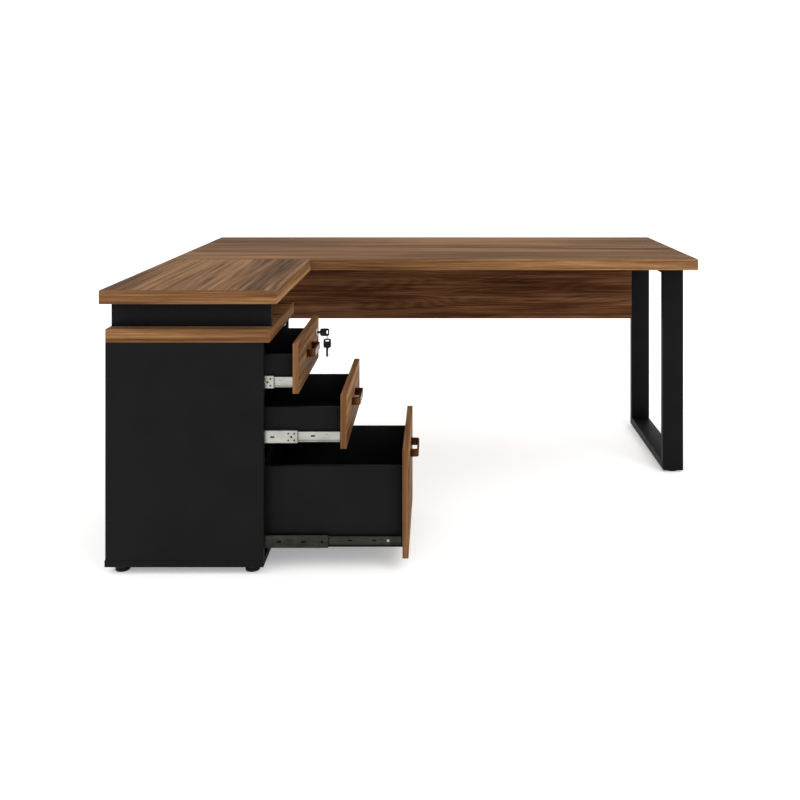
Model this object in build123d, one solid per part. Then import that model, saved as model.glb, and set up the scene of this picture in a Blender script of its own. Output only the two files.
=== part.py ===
from build123d import *
import os
from dataclasses import dataclass

os.makedirs("parts", exist_ok=True)

# An L-shaped office desk: a long main top, a return top over a three-drawer pedestal, and two
# closed steel leg frames. Millimetres, +Z up. The origin is on the floor, under the middle of the
# footprint; +X runs along the main top and +Y towards its back edge.

# ---- Worktops
DESK_LENGTH = 1750.0
DESK_DEPTH = 1325.0
DESK_HEIGHT = 750.0
MAIN_TOP_DEPTH = 700.0
RETURN_TOP_WIDTH = 465.0
TOP_THICKNESS = 36.0
EDGE_BAND = 2.0

# ---- Pedestal carcass
PEDESTAL_DEPTH = 416.0
PEDESTAL_WIDTH = 400.0
PEDESTAL_LEFT_SETBACK = 11.5
PEDESTAL_FRONT_SETBACK = 15.0
PEDESTAL_TOP_THICKNESS = 36.0
PEDESTAL_TOP_OVERHANG = 16.0
SIDE_THICKNESS = 15.0
BACK_THICKNESS = 12.0
BASE_THICKNESS = 18.0
BASE_PROUD = 2.0
RISER_THICKNESS = 18.0
RISER_FRONT_SETBACK = 34.0
RISER_LEFT_SETBACK = 4.0
RISER_RIGHT_SETBACK = 2.0
FAR_RISER_RIGHT_SETBACK = 75.0

# ---- Levelling feet and glides
FOOT_HEIGHT = 20.0
FOOT_RADIUS = 19.5
FOOT_CHAMFER = 2.0
FOOT_INSET = 35.0
FOOT_STUD_RADIUS = 4.0
FOOT_STUD_LENGTH = 25.0
SOCKET_RADIUS = 6.0
SOCKET_FLANGE_RADIUS = 10.0
SOCKET_FLANGE = 1.5
GLIDE_HEIGHT = 6.0
GLIDE_RADIUS = 23.0
GLIDE_STEM_RADIUS = 5.0
GLIDE_STEM = 14.0

# ---- Drawers
FRONT_THICKNESS = 16.0
FRONT_GAP = 3.0
FRONT_BACK_GAP = 2.0
FRONT_SIDE_REVEAL = 2.0
FRONT_BASE_GAP = 4.0
BOX_THICKNESS = 12.0
BOX_DEPTH = 390.0
BOX_BELOW_RUNNER = 18.0
BOTTOM_THICKNESS = 3.2
BOTTOM_RISE = 10.0
GROOVE_DEPTH = 6.0
GROOVE_CLEARANCE = 0.2

# ---- Ball-bearing runners: three nested members on each side of a drawer
RUNNER_LENGTH = 400.0
RUNNER_SPACE = 13.0
RUNNER_SETBACK = 2.0
RUNNER_WALL = 1.2
OUTER_HALF_HEIGHT = 22.5
OUTER_LIP = 10.0
MIDDLE_HALF_HEIGHT = 17.0
MIDDLE_WEB = 3.2
MIDDLE_LIP = 10.6
MIDDLE_SHORTER = 12.0
INNER_HALF_HEIGHT = 13.25
INNER_LIP = 5.0
BALL_RUN_CLEARANCE = 0.4
BALL_CAGE_LENGTH = 180.0
BALL_CAGE_BAND = (4.5, 9.0)
RUNNER_HOLE_RADIUS = 2.3
RUNNER_SLOT_LENGTH = 12.0
RUNNER_HOLE_PITCH = 64.0
RUNNER_SCREW_INSET = 35.0
RUNNER_SCREW_LENGTH = 10.0

# ---- Handles
HANDLE_CENTRES = 96.0
HANDLE_PROJECTION = 24.0
HANDLE_HEIGHT = 19.5
HANDLE_LEG = 10.0
HANDLE_GRIP = 5.0
HANDLE_OUTER_RADIUS = 9.0
HANDLE_INNER_RADIUS = 5.0
HANDLE_BELOW_TOP = 59.0
HANDLE_SCREW_BITE = 7.0

# ---- Lock and keys
LOCK_BELOW_TOP = 43.0
LOCK_SIDE_CLEARANCE = 0.5
LOCK_ROSETTE_RADIUS = 11.0
LOCK_ROSETTE = 2.4
LOCK_ROSETTE_CHAMFER = 0.8
LOCK_BARREL_RADIUS = 9.5
LOCK_BARREL = 22.0
LOCK_CYLINDER_RADIUS = 6.0
LOCK_CYLINDER_PROUD = 2.0
LOCK_FIT = 0.06
LOCK_BORE_CLEARANCE = 0.2
LOCK_NUT_RADIUS = 11.5
LOCK_NUT = 4.0
CAM_THICKNESS = 2.0
CAM_REACH = 35.0
CAM_WIDTH = 11.0
CAM_TAIL = 6.0
CAM_STANDOFF = 2.0
CAM_HUB_RIM = 2.0
CAM_RIVET_RADIUS = 4.5
CAM_RIVET = 1.5
CAM_PLAY = 1.0
STRIKE_THICKNESS = 2.0
STRIKE_DROP = 25.0
STRIKE_WIDTH = 34.0
STRIKE_FLANGE = 26.0
KEY_BLADE_WIDTH = 7.5
KEY_BLADE_THICKNESS = 2.0
KEY_BLADE_LENGTH = 27.0
KEYWAY_CLEARANCE = 0.25
KEYWAY_END_GAP = 1.0
KEY_BOW_LENGTH = 28.0
KEY_BOW_WIDTH = 23.0
KEY_BOW_THICKNESS = 3.0
KEY_BOW_CORNER = 6.0
KEY_BOW_STANDOFF = 11.0
KEY_SLOT_LENGTH = 11.0
KEY_SLOT_WIDTH = 4.2
KEY_SLOT_EDGE = 4.0
RING_MEAN_RADIUS = 10.0
RING_WIRE_RADIUS = 0.7
RING_CLEARANCE = 0.3

# ---- Leg frames and what ties the worktops together
LEG_TUBE_WIDTH = 70.0
LEG_TUBE_THICKNESS = 30.0
LEG_TUBE_WALL = 1.5
LEG_FRAME_DEPTH = 520.0
LEG_SIDE_SETBACK = 16.0
LEG_BACK_SETBACK = 60.0
LEG_TAB_LENGTH = 32.0
LEG_TAB_WIDTH = 40.0
LEG_TAB_THICKNESS = 3.0
LEG_TAB_INSET = 130.0
MODESTY_THICKNESS = 18.0
MODESTY_HEIGHT = 280.0
MODESTY_FROM_LEG_BACK = 11.0
BRACKET_LEG = 30.0
BRACKET_WIDTH = 40.0
BRACKET_THICKNESS = 2.0
BRACKET_SPACING = 400.0
BRACKET_COUNT = 4
PLATE_LENGTH = 120.0
PLATE_WIDTH = 40.0
PLATE_THICKNESS = 2.0
PLATE_EDGE_DISTANCE = 100.0
PLATE_HOLE_INSETS = (15.0, 37.5)

# ---- Fixings
SCREW_RADIUS = 1.9
SCREW_HEAD_RADIUS = 3.6
SCREW_HEAD = 1.6
SCREW_LENGTH = 12.0
SCREW_CLEARANCE = 0.1
SCREW_TIP_GAP = 0.5
DOWEL_RADIUS = 4.0
DOWEL_LENGTH = 24.0
DOWEL_CLEARANCE = 0.1
DOWEL_END_GAP = 0.5
DOWEL_END_INSET = 60.0

# ---- Places that follow from the sizes above
LEFT, RIGHT = -DESK_LENGTH / 2, DESK_LENGTH / 2
NEAR, FAR = -DESK_DEPTH / 2, DESK_DEPTH / 2
SEAM = FAR - MAIN_TOP_DEPTH
RETURN_RIGHT = LEFT + RETURN_TOP_WIDTH
UNDERSIDE = DESK_HEIGHT - TOP_THICKNESS

PEDESTAL_LEFT = LEFT + PEDESTAL_LEFT_SETBACK
PEDESTAL_RIGHT = PEDESTAL_LEFT + PEDESTAL_DEPTH
PEDESTAL_NEAR = NEAR + PEDESTAL_FRONT_SETBACK
PEDESTAL_FAR = PEDESTAL_NEAR + PEDESTAL_WIDTH
PEDESTAL_MIDDLE = (PEDESTAL_NEAR + PEDESTAL_FAR) / 2
BAY_NEAR = PEDESTAL_NEAR + SIDE_THICKNESS
BAY_FAR = PEDESTAL_FAR - SIDE_THICKNESS
BASE_TOP = FOOT_HEIGHT + BASE_THICKNESS
FRONT_BACK = PEDESTAL_RIGHT + FRONT_BACK_GAP
RUNNER_FRONT = PEDESTAL_RIGHT - RUNNER_SETBACK
RUNNER_REAR = RUNNER_FRONT - RUNNER_LENGTH


@dataclass
class Drawer:
    """A drawer's own sizes: its place in the stack is worked out below."""

    name: str
    front_height: float
    opening: float
    runner_rise: float
    box_drop: float
    front_low: float = 0.0

    @property
    def front_high(self):
        return self.front_low + self.front_height

    @property
    def runner_z(self):
        return self.front_low + self.runner_rise

    @property
    def box_low(self):
        return self.runner_z - BOX_BELOW_RUNNER

    @property
    def box_high(self):
        return self.front_high - self.box_drop

    @property
    def front_face(self):
        """X of the front's outer face, with the drawer open as it is shown."""
        return FRONT_BACK + FRONT_THICKNESS + self.opening


# From the bottom up. Each one is drawn pulled out by its own opening.
DRAWERS = [
    Drawer("bottom", front_height=285.5, opening=363.0, runner_rise=37.0, box_drop=52.0),
    Drawer("middle", front_height=142.0, opening=200.0, runner_rise=26.0, box_drop=40.0),
    Drawer("top", front_height=131.5, opening=74.0, runner_rise=26.0, box_drop=35.0),
]
stack_z = BASE_TOP + FRONT_BASE_GAP
for drawer in DRAWERS:
    drawer.front_low = stack_z
    stack_z = drawer.front_high + FRONT_GAP
TOP_DRAWER = DRAWERS[-1]

CARCASS_TOP = stack_z
PEDESTAL_TOP_Z = CARCASS_TOP + PEDESTAL_TOP_THICKNESS
PEDESTAL_TOP_RIGHT = PEDESTAL_RIGHT + PEDESTAL_TOP_OVERHANG


# ---- Helpers
def block(x, y, z):
    """A box between a (low, high) pair on each axis."""
    spans = [pair[1] - pair[0] for pair in (x, y, z)]
    middles = [(pair[1] + pair[0]) / 2 for pair in (x, y, z)]
    return Pos(*middles) * Box(*spans)


def rod(start, direction, radius, length):
    """A cylinder that grows from a point along a direction."""
    return extrude(Plane(origin=start, z_dir=direction) * Circle(radius), amount=length)


def screw(seat, direction, length=SCREW_LENGTH):
    """A pan-head screw whose head rests on the seat and whose shank runs along the direction."""
    away = tuple(-part for part in direction)
    head = rod(seat, away, SCREW_HEAD_RADIUS, SCREW_HEAD)
    return head + rod(seat, direction, SCREW_RADIUS, length)


def screw_hole(seat, direction, length=SCREW_LENGTH):
    return rod(seat, direction, SCREW_RADIUS + SCREW_CLEARANCE, length + SCREW_TIP_GAP)


def cut(shape, tools):
    for tool in tools:
        shape = shape - tool
    return shape


def write(node, *shapes):
    """One STEP file for a node, with every solid kept as a piece of its own."""
    solids = [solid for shape in shapes for solid in shape.solids()]
    whole = solids[0] if len(solids) == 1 else Compound(children=solids)
    export_step(whole, f"parts/{node}.step")


def holes_for(fixings):
    return [screw_hole(*fixing) for fixing in fixings]


# ---- Where the fixings sit: (seat point, direction, length)
UP, DOWN = (0, 0, 1), (0, 0, -1)
LEG_NEAR = FAR - LEG_BACK_SETBACK - LEG_FRAME_DEPTH
LEG_FAR = FAR - LEG_BACK_SETBACK
LEG_X = {
    "right": (RIGHT - LEG_SIDE_SETBACK - LEG_TUBE_WIDTH, RIGHT - LEG_SIDE_SETBACK),
    "left": (LEFT + LEG_SIDE_SETBACK, LEFT + LEG_SIDE_SETBACK + LEG_TUBE_WIDTH),
}
LEG_TAB_Y = [LEG_NEAR + LEG_TAB_INSET, LEG_FAR - LEG_TAB_INSET]
TAB_X = {
    "right": (LEG_X["right"][0] - LEG_TAB_LENGTH, LEG_X["right"][0]),
    "left": (LEG_X["left"][1], LEG_X["left"][1] + LEG_TAB_LENGTH),
}
leg_screws = [
    ((sum(TAB_X[side]) / 2, y, UNDERSIDE - LEG_TAB_THICKNESS), UP)
    for side in TAB_X
    for y in LEG_TAB_Y
]

MODESTY_FAR = LEG_FAR - MODESTY_FROM_LEG_BACK
MODESTY_NEAR = MODESTY_FAR - MODESTY_THICKNESS
BRACKET_X = [BRACKET_SPACING * (step - (BRACKET_COUNT - 1) / 2) for step in range(BRACKET_COUNT)]
bracket_top_screws = [
    ((x, MODESTY_FAR + BRACKET_LEG / 2, UNDERSIDE - BRACKET_THICKNESS), UP) for x in BRACKET_X
]
bracket_panel_screws = [
    ((x, MODESTY_FAR + BRACKET_THICKNESS, UNDERSIDE - BRACKET_LEG / 2), (0, -1, 0))
    for x in BRACKET_X
]

PLATE_X = [LEFT + PLATE_EDGE_DISTANCE, RETURN_RIGHT - PLATE_EDGE_DISTANCE]
PLATE_HOLE_Y = [
    SEAM + side * (PLATE_LENGTH / 2 - inset) for side in (-1, 1) for inset in PLATE_HOLE_INSETS
]
plate_screws = [((x, y, UNDERSIDE - PLATE_THICKNESS), UP) for x in PLATE_X for y in PLATE_HOLE_Y]
main_plate_screws = [item for item in plate_screws if item[0][1] > SEAM]
return_plate_screws = [item for item in plate_screws if item[0][1] < SEAM]

BOX_SIDE_INNER = BAY_FAR - RUNNER_SPACE - BOX_THICKNESS
LOCK_Y = BOX_SIDE_INNER - LOCK_NUT_RADIUS - LOCK_SIDE_CLEARANCE
LOCK_Z = TOP_DRAWER.front_high - LOCK_BELOW_TOP
LOCK_FACE = TOP_DRAWER.front_face
CAM_BACK = LOCK_BARREL + CAM_STANDOFF + CAM_THICKNESS
STRIKE_X = FRONT_BACK + FRONT_THICKNESS - CAM_BACK + CAM_THICKNESS + CAM_PLAY
STRIKE_SCREW_X = STRIKE_X - STRIKE_FLANGE / 2
STRIKE_SCREW_Y = [LOCK_Y + side * STRIKE_WIDTH / 4 for side in (-1, 1)]
strike_screws = [((STRIKE_SCREW_X, y, CARCASS_TOP - STRIKE_THICKNESS), UP) for y in STRIKE_SCREW_Y]


# ---- Worktops
def edge_strips(x, y, z, sides):
    """Strips of edge banding round a board, the near and far ones running the full length."""
    strips = {
        "near": block(x, (y[0], y[0] + EDGE_BAND), z),
        "far": block(x, (y[1] - EDGE_BAND, y[1]), z),
    }
    inner_y = (
        y[0] + (EDGE_BAND if "near" in sides else 0),
        y[1] - (EDGE_BAND if "far" in sides else 0),
    )
    strips["left"] = block((x[0], x[0] + EDGE_BAND), inner_y, z)
    strips["right"] = block((x[1] - EDGE_BAND, x[1]), inner_y, z)
    return [strips[side] for side in sides]


RISER_X = {
    "near": (PEDESTAL_LEFT + RISER_LEFT_SETBACK, PEDESTAL_TOP_RIGHT - RISER_RIGHT_SETBACK),
    "far": (PEDESTAL_LEFT + RISER_LEFT_SETBACK, PEDESTAL_TOP_RIGHT - FAR_RISER_RIGHT_SETBACK),
}
RISER_NEAR = PEDESTAL_NEAR + RISER_FRONT_SETBACK
RISER_FAR = PEDESTAL_FAR - RISER_FRONT_SETBACK
RISER_Y = {
    "near": (RISER_NEAR, RISER_NEAR + RISER_THICKNESS),
    "far": (RISER_FAR - RISER_THICKNESS, RISER_FAR),
}
SIDE_Y = {"near": (PEDESTAL_NEAR, BAY_NEAR), "far": (BAY_FAR, PEDESTAL_FAR)}


def dowels_on(x_span, y_pair, z, clearance=0.0, end_gap=0.0):
    """Upright dowels across a joint at height z, two along a board's edge."""
    low = z - DOWEL_LENGTH / 2 - end_gap
    return [
        rod((x, sum(y_pair) / 2, low), UP, DOWEL_RADIUS + clearance, DOWEL_LENGTH + 2 * end_gap)
        for x in (x_span[0] + DOWEL_END_INSET, x_span[1] - DOWEL_END_INSET)
    ]


CARCASS_X = (PEDESTAL_LEFT, PEDESTAL_RIGHT)
dowel_joints = [
    (RISER_X["near"], RISER_Y["near"], UNDERSIDE),
    (RISER_X["far"], RISER_Y["far"], UNDERSIDE),
    (RISER_X["near"], RISER_Y["near"], PEDESTAL_TOP_Z),
    (RISER_X["far"], RISER_Y["far"], PEDESTAL_TOP_Z),
    (CARCASS_X, SIDE_Y["near"], CARCASS_TOP),
    (CARCASS_X, SIDE_Y["far"], CARCASS_TOP),
    (CARCASS_X, SIDE_Y["near"], BASE_TOP),
    (CARCASS_X, SIDE_Y["far"], BASE_TOP),
]
dowel_holes = [
    hole for joint in dowel_joints for hole in dowels_on(*joint, DOWEL_CLEARANCE, DOWEL_END_GAP)
]
top_z = (UNDERSIDE, DESK_HEIGHT)

main_top = block(
    (LEFT + EDGE_BAND, RIGHT - EDGE_BAND), (SEAM + EDGE_BAND, FAR - EDGE_BAND), top_z
)
write("main_top", cut(main_top, holes_for(leg_screws + bracket_top_screws + main_plate_screws)))
return_top = block((LEFT + EDGE_BAND, RETURN_RIGHT - EDGE_BAND), (NEAR + EDGE_BAND, SEAM), top_z)
write("return_top", cut(return_top, dowel_holes[:4] + holes_for(return_plate_screws)))
write(
    "worktop_edging",
    *edge_strips((LEFT, RIGHT), (SEAM, FAR), top_z, ("near", "far", "left", "right")),
    *edge_strips((LEFT, RETURN_RIGHT), (NEAR, SEAM), top_z, ("near", "left", "right")),
)

# ---- Pedestal top, risers and carcass
band_x, band_y = (PEDESTAL_LEFT, PEDESTAL_TOP_RIGHT), (PEDESTAL_NEAR, PEDESTAL_FAR)
band_z = (CARCASS_TOP, PEDESTAL_TOP_Z)
pedestal_top = block(
    (band_x[0] + EDGE_BAND, band_x[1] - EDGE_BAND),
    (band_y[0] + EDGE_BAND, band_y[1] - EDGE_BAND),
    band_z,
)
write("pedestal_top", cut(pedestal_top, dowel_holes[4:12] + holes_for(strike_screws)))
write(
    "pedestal_top_edging",
    *edge_strips(band_x, band_y, band_z, ("near", "far", "left", "right")),
)
for place, span in RISER_Y.items():
    riser = block(RISER_X[place], span, (PEDESTAL_TOP_Z, UNDERSIDE))
    write(f"riser_{place}", cut(riser, dowel_holes[:8]))

runner_screw_x = [RUNNER_REAR + RUNNER_SCREW_INSET, RUNNER_FRONT - RUNNER_SCREW_INSET]
WALLS = {"near": (BAY_NEAR, 1), "far": (BAY_FAR, -1)}


def outer_runner_screws(place):
    """Screws that hold a side's outer members, driven from the bay into the side board."""
    wall, inward = WALLS[place]
    return [
        ((x, wall + inward * RUNNER_WALL, drawer.runner_z), (0, -inward, 0))
        for drawer in DRAWERS
        for x in runner_screw_x
    ]


for place, span in SIDE_Y.items():
    side = block(CARCASS_X, span, (BASE_TOP, CARCASS_TOP))
    side_holes = dowel_holes[8:] + holes_for(outer_runner_screws(place))
    write(f"pedestal_side_{place}", cut(side, side_holes))
BACK_INNER = PEDESTAL_LEFT + BACK_THICKNESS
write(
    "pedestal_back",
    block((PEDESTAL_LEFT, BACK_INNER), (BAY_NEAR, BAY_FAR), (BASE_TOP, CARCASS_TOP)),
)

FOOT_PLACES = {
    f"{side}_{row}": (x, y)
    for side, x in (("left", PEDESTAL_LEFT + FOOT_INSET), ("right", PEDESTAL_RIGHT - FOOT_INSET))
    for row, y in (("near", PEDESTAL_NEAR + FOOT_INSET), ("far", PEDESTAL_FAR - FOOT_INSET))
}
base = block((PEDESTAL_LEFT - BASE_PROUD, PEDESTAL_RIGHT), band_y, (FOOT_HEIGHT, BASE_TOP))
socket_holes = [
    rod((x, y, FOOT_HEIGHT), UP, SOCKET_RADIUS + DOWEL_CLEARANCE, BASE_THICKNESS)
    for x, y in FOOT_PLACES.values()
]
write("pedestal_base", cut(base, dowel_holes[12:] + socket_holes))
STUD_BORE_RADIUS = FOOT_STUD_RADIUS + SCREW_CLEARANCE
sockets = [
    rod((x, y, FOOT_HEIGHT), UP, SOCKET_RADIUS, BASE_THICKNESS)
    + rod((x, y, BASE_TOP), UP, SOCKET_FLANGE_RADIUS, SOCKET_FLANGE)
    - rod((x, y, FOOT_HEIGHT), UP, STUD_BORE_RADIUS, BASE_THICKNESS + SOCKET_FLANGE)
    for x, y in FOOT_PLACES.values()
]
write("foot_sockets", *sockets)
for place, (x, y) in FOOT_PLACES.items():
    pad = rod((x, y, 0), UP, FOOT_RADIUS, FOOT_HEIGHT)
    pad = chamfer(pad.edges().filter_by(GeomType.CIRCLE).group_by(Axis.Z)[0], FOOT_CHAMFER)
    write(f"foot_{place}", pad + rod((x, y, FOOT_HEIGHT), UP, FOOT_STUD_RADIUS, FOOT_STUD_LENGTH))
write("carcass_dowels", *[dowel for joint in dowel_joints for dowel in dowels_on(*joint)])


# ---- Runners
def channel(wall_y, inward, z, x_span, web, lip, half_height):
    """A C-shaped rail: a web at one distance from the side board, its lips reaching to another."""
    def across(a, b):
        return tuple(sorted((wall_y + inward * a, wall_y + inward * b)))

    rail = block(x_span, across(*web), (z - half_height, z + half_height))
    reach = across(min(web[0], lip), max(web[1], lip))
    for low in (z - half_height, z + half_height - RUNNER_WALL):
        rail = rail + block(x_span, reach, (low, low + RUNNER_WALL))
    return rail


def web_slots(x_span, z, wall_y):
    """Punched slots along a rail's web, one hole pitch apart, clear of the screws."""
    count = int((x_span[1] - x_span[0] - 2 * RUNNER_HOLE_PITCH) // RUNNER_HOLE_PITCH) + 1
    first = sum(x_span) / 2 - RUNNER_HOLE_PITCH * (count - 1) / 2
    outline = SlotOverall(RUNNER_SLOT_LENGTH, 2 * RUNNER_HOLE_RADIUS)
    web_plane = Plane.XZ.offset(-wall_y)
    spots = [Pos(first + step * RUNNER_HOLE_PITCH, z) for step in range(count)]
    return [extrude(web_plane * spot * outline, 2 * RUNNER_SPACE, both=True) for spot in spots]


def cages(wall_y, inward, z, x_span, low, high):
    """The two strips that hold a rail's balls, above and below it."""
    y_span = tuple(sorted(wall_y + inward * edge for edge in BALL_CAGE_BAND))
    return [block(x_span, y_span, (z + low, z + high)), block(x_span, y_span, (z - high, z - low))]


def runners(drawer):
    """Outer, middle and inner members of both runners of a drawer, and the inner ones' screws."""
    outer, middle, inner, screws = [], [], [], []
    rest_x = (RUNNER_REAR, RUNNER_FRONT)
    half = drawer.opening / 2
    middle_x = (RUNNER_REAR + half, RUNNER_FRONT - MIDDLE_SHORTER + half)
    inner_x = (RUNNER_REAR + drawer.opening, RUNNER_FRONT + drawer.opening)
    z = drawer.runner_z
    for place, (wall, inward) in WALLS.items():
        rail = channel(wall, inward, z, rest_x, (0, RUNNER_WALL), OUTER_LIP, OUTER_HALF_HEIGHT)
        wall_holes = holes_for(outer_runner_screws(place))
        outer.append(cut(rail, web_slots(rest_x, z, wall) + wall_holes))
        web = (MIDDLE_WEB, MIDDLE_WEB + RUNNER_WALL)
        rail = channel(wall, inward, z, middle_x, web, MIDDLE_LIP, MIDDLE_HALF_HEIGHT)
        middle.append(cut(rail, web_slots(middle_x, z, wall)))
        outside = OUTER_HALF_HEIGHT - RUNNER_WALL - BALL_RUN_CLEARANCE
        rear_x = (middle_x[0], middle_x[0] + BALL_CAGE_LENGTH)
        middle += cages(wall, inward, z, rear_x, MIDDLE_HALF_HEIGHT, outside)
        inside = INNER_HALF_HEIGHT + BALL_RUN_CLEARANCE
        front_x = (middle_x[1] - BALL_CAGE_LENGTH, middle_x[1])
        middle += cages(wall, inward, z, front_x, inside, MIDDLE_HALF_HEIGHT - RUNNER_WALL)
        web = (RUNNER_SPACE - RUNNER_WALL, RUNNER_SPACE)
        rail = channel(wall, inward, z, inner_x, web, INNER_LIP, INNER_HALF_HEIGHT)
        seat_y = wall + inward * (RUNNER_SPACE - RUNNER_WALL)
        fixings = [
            ((x + drawer.opening, seat_y, z), (0, inward, 0), RUNNER_SCREW_LENGTH)
            for x in runner_screw_x
        ]
        inner.append(cut(rail, web_slots(inner_x, z, wall) + holes_for(fixings)))
        screws += fixings
    return outer, middle, inner, screws


# ---- Drawer boxes, fronts and handles
def handle(face_x, y, z):
    """A bow pull: a flat strip that leaves the front, runs along Y and comes back to it."""
    length = HANDLE_CENTRES + HANDLE_LEG
    outer = Pos(HANDLE_PROJECTION / 2, 0) * Rectangle(HANDLE_PROJECTION, length)
    outer = fillet(outer.vertices().group_by(Axis.X)[-1], HANDLE_OUTER_RADIUS)
    gap = HANDLE_PROJECTION - HANDLE_GRIP
    inner = Pos(gap / 2, 0) * Rectangle(gap, length - 2 * HANDLE_LEG)
    inner = fillet(inner.vertices().group_by(Axis.X)[-1], HANDLE_INNER_RADIUS)
    strip = extrude(outer - inner, amount=HANDLE_HEIGHT)
    return Pos(face_x, y, z - HANDLE_HEIGHT / 2) * strip


def write_drawer(drawer):
    name, opening = drawer.name, drawer.opening
    outer, middle, inner, runner_screws = runners(drawer)
    write(f"{name}_runner_outer", *outer)
    write(f"{name}_runner_middle", *middle)
    write(f"{name}_runner_inner", *inner)

    box_x = (FRONT_BACK - BOX_DEPTH + opening, FRONT_BACK + opening)
    box_z = (drawer.box_low, drawer.box_high)
    box_y = (BAY_NEAR + RUNNER_SPACE, BAY_FAR - RUNNER_SPACE)
    inner_y = (box_y[0] + BOX_THICKNESS, box_y[1] - BOX_THICKNESS)
    panel_z = (drawer.box_low + BOTTOM_RISE, drawer.box_low + BOTTOM_RISE + BOTTOM_THICKNESS)
    back_inner = box_x[0] + BOX_THICKNESS
    groove = block(
        (back_inner - GROOVE_DEPTH, box_x[1]),
        (inner_y[0] - GROOVE_DEPTH, inner_y[1] + GROOVE_DEPTH),
        (panel_z[0] - GROOVE_CLEARANCE, panel_z[1] + GROOVE_CLEARANCE),
    )
    pilot_holes = holes_for(runner_screws)
    sides = [
        cut(block(box_x, span, box_z), [groove] + pilot_holes)
        for span in ((box_y[0], inner_y[0]), (inner_y[1], box_y[1]))
    ]
    write(f"{name}_drawer_sides", *sides)
    write(f"{name}_drawer_back", block((box_x[0], back_inner), inner_y, box_z) - groove)
    seated = GROOVE_DEPTH - GROOVE_CLEARANCE
    write(
        f"{name}_drawer_bottom",
        block((back_inner - seated, box_x[1]), (inner_y[0] - seated, inner_y[1] + seated), panel_z),
    )

    handle_z = drawer.front_high - HANDLE_BELOW_TOP
    handle_screws = [
        ((box_x[1], PEDESTAL_MIDDLE + side * HANDLE_CENTRES / 2, handle_z), (1, 0, 0),
         FRONT_THICKNESS + HANDLE_SCREW_BITE)
        for side in (-1, 1)
    ]
    front = block(
        (box_x[1], drawer.front_face),
        (PEDESTAL_NEAR + FRONT_SIDE_REVEAL, PEDESTAL_FAR - FRONT_SIDE_REVEAL),
        (drawer.front_low, drawer.front_high),
    )
    front = cut(front, holes_for(handle_screws))
    if drawer is TOP_DRAWER:
        bore = LOCK_BARREL_RADIUS + LOCK_BORE_CLEARANCE
        front = front - rod((box_x[1], LOCK_Y, LOCK_Z), (1, 0, 0), bore, FRONT_THICKNESS)
    write(f"{name}_drawer_front", front)
    pull = handle(drawer.front_face, PEDESTAL_MIDDLE, handle_z)
    write(f"{name}_handle", cut(pull, holes_for(handle_screws)))
    write(f"{name}_drawer_screws", *[screw(*fixing) for fixing in runner_screws + handle_screws])


for drawer in DRAWERS:
    write_drawer(drawer)


# ---- Lock
def on_lock_axis(offset, radius, length):
    """A cylinder on the lock's axis, from an offset behind (-) or before (+) the front's face."""
    return rod((LOCK_FACE + offset, LOCK_Y, LOCK_Z), (1, 0, 0), radius, length)


def square_on_lock_axis(offset, width, length):
    x = (LOCK_FACE + offset, LOCK_FACE + offset + length)
    half = width / 2
    return block(x, (LOCK_Y - half, LOCK_Y + half), (LOCK_Z - half, LOCK_Z + half))


CYLINDER_BACK = -CAM_BACK + CAM_THICKNESS
KEY_DEPTH = KEY_BLADE_LENGTH - KEY_BOW_STANDOFF
housing = on_lock_axis(0, LOCK_ROSETTE_RADIUS, LOCK_ROSETTE)
housing = chamfer(housing.edges().filter_by(GeomType.CIRCLE).group_by(Axis.X)[-1], LOCK_ROSETTE_CHAMFER)
housing = housing + on_lock_axis(-LOCK_BARREL, LOCK_BARREL_RADIUS, LOCK_BARREL)
cylinder_bore = LOCK_CYLINDER_RADIUS + LOCK_FIT
housing = housing - on_lock_axis(-LOCK_BARREL, cylinder_bore, LOCK_BARREL + LOCK_ROSETTE)
write("lock_housing", housing)

nut = on_lock_axis(-FRONT_THICKNESS - LOCK_NUT, LOCK_NUT_RADIUS, LOCK_NUT)
nut = nut - on_lock_axis(-FRONT_THICKNESS - LOCK_NUT, LOCK_BARREL_RADIUS + LOCK_FIT, LOCK_NUT)
write("lock_nut", nut)

keyway_half_width = KEY_BLADE_THICKNESS / 2 + KEYWAY_CLEARANCE
keyway_half_height = KEY_BLADE_WIDTH / 2 + KEYWAY_CLEARANCE
keyway = block(
    (LOCK_FACE - KEY_DEPTH - KEYWAY_END_GAP, LOCK_FACE + LOCK_CYLINDER_PROUD),
    (LOCK_Y - keyway_half_width, LOCK_Y + keyway_half_width),
    (LOCK_Z - keyway_half_height, LOCK_Z + keyway_half_height),
)
cylinder_length = LOCK_CYLINDER_PROUD - CYLINDER_BACK
cylinder = on_lock_axis(CYLINDER_BACK, LOCK_CYLINDER_RADIUS, cylinder_length) - keyway
cylinder = cylinder + square_on_lock_axis(-CAM_BACK, CAM_TAIL, CAM_THICKNESS)
cylinder = cylinder + on_lock_axis(-CAM_BACK - CAM_RIVET, CAM_RIVET_RADIUS, CAM_RIVET)
write("lock_cylinder", cylinder)

cam_x = (LOCK_FACE - CAM_BACK, LOCK_FACE - CAM_BACK + CAM_THICKNESS)
cam = block(cam_x, (LOCK_Y - CAM_REACH, LOCK_Y), (LOCK_Z - CAM_WIDTH / 2, LOCK_Z + CAM_WIDTH / 2))
cam = cam + on_lock_axis(-CAM_BACK, CAM_WIDTH / 2 + CAM_HUB_RIM, CAM_THICKNESS)
write("lock_cam", cam - square_on_lock_axis(-CAM_BACK, CAM_TAIL + 2 * LOCK_FIT, CAM_THICKNESS))

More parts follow.
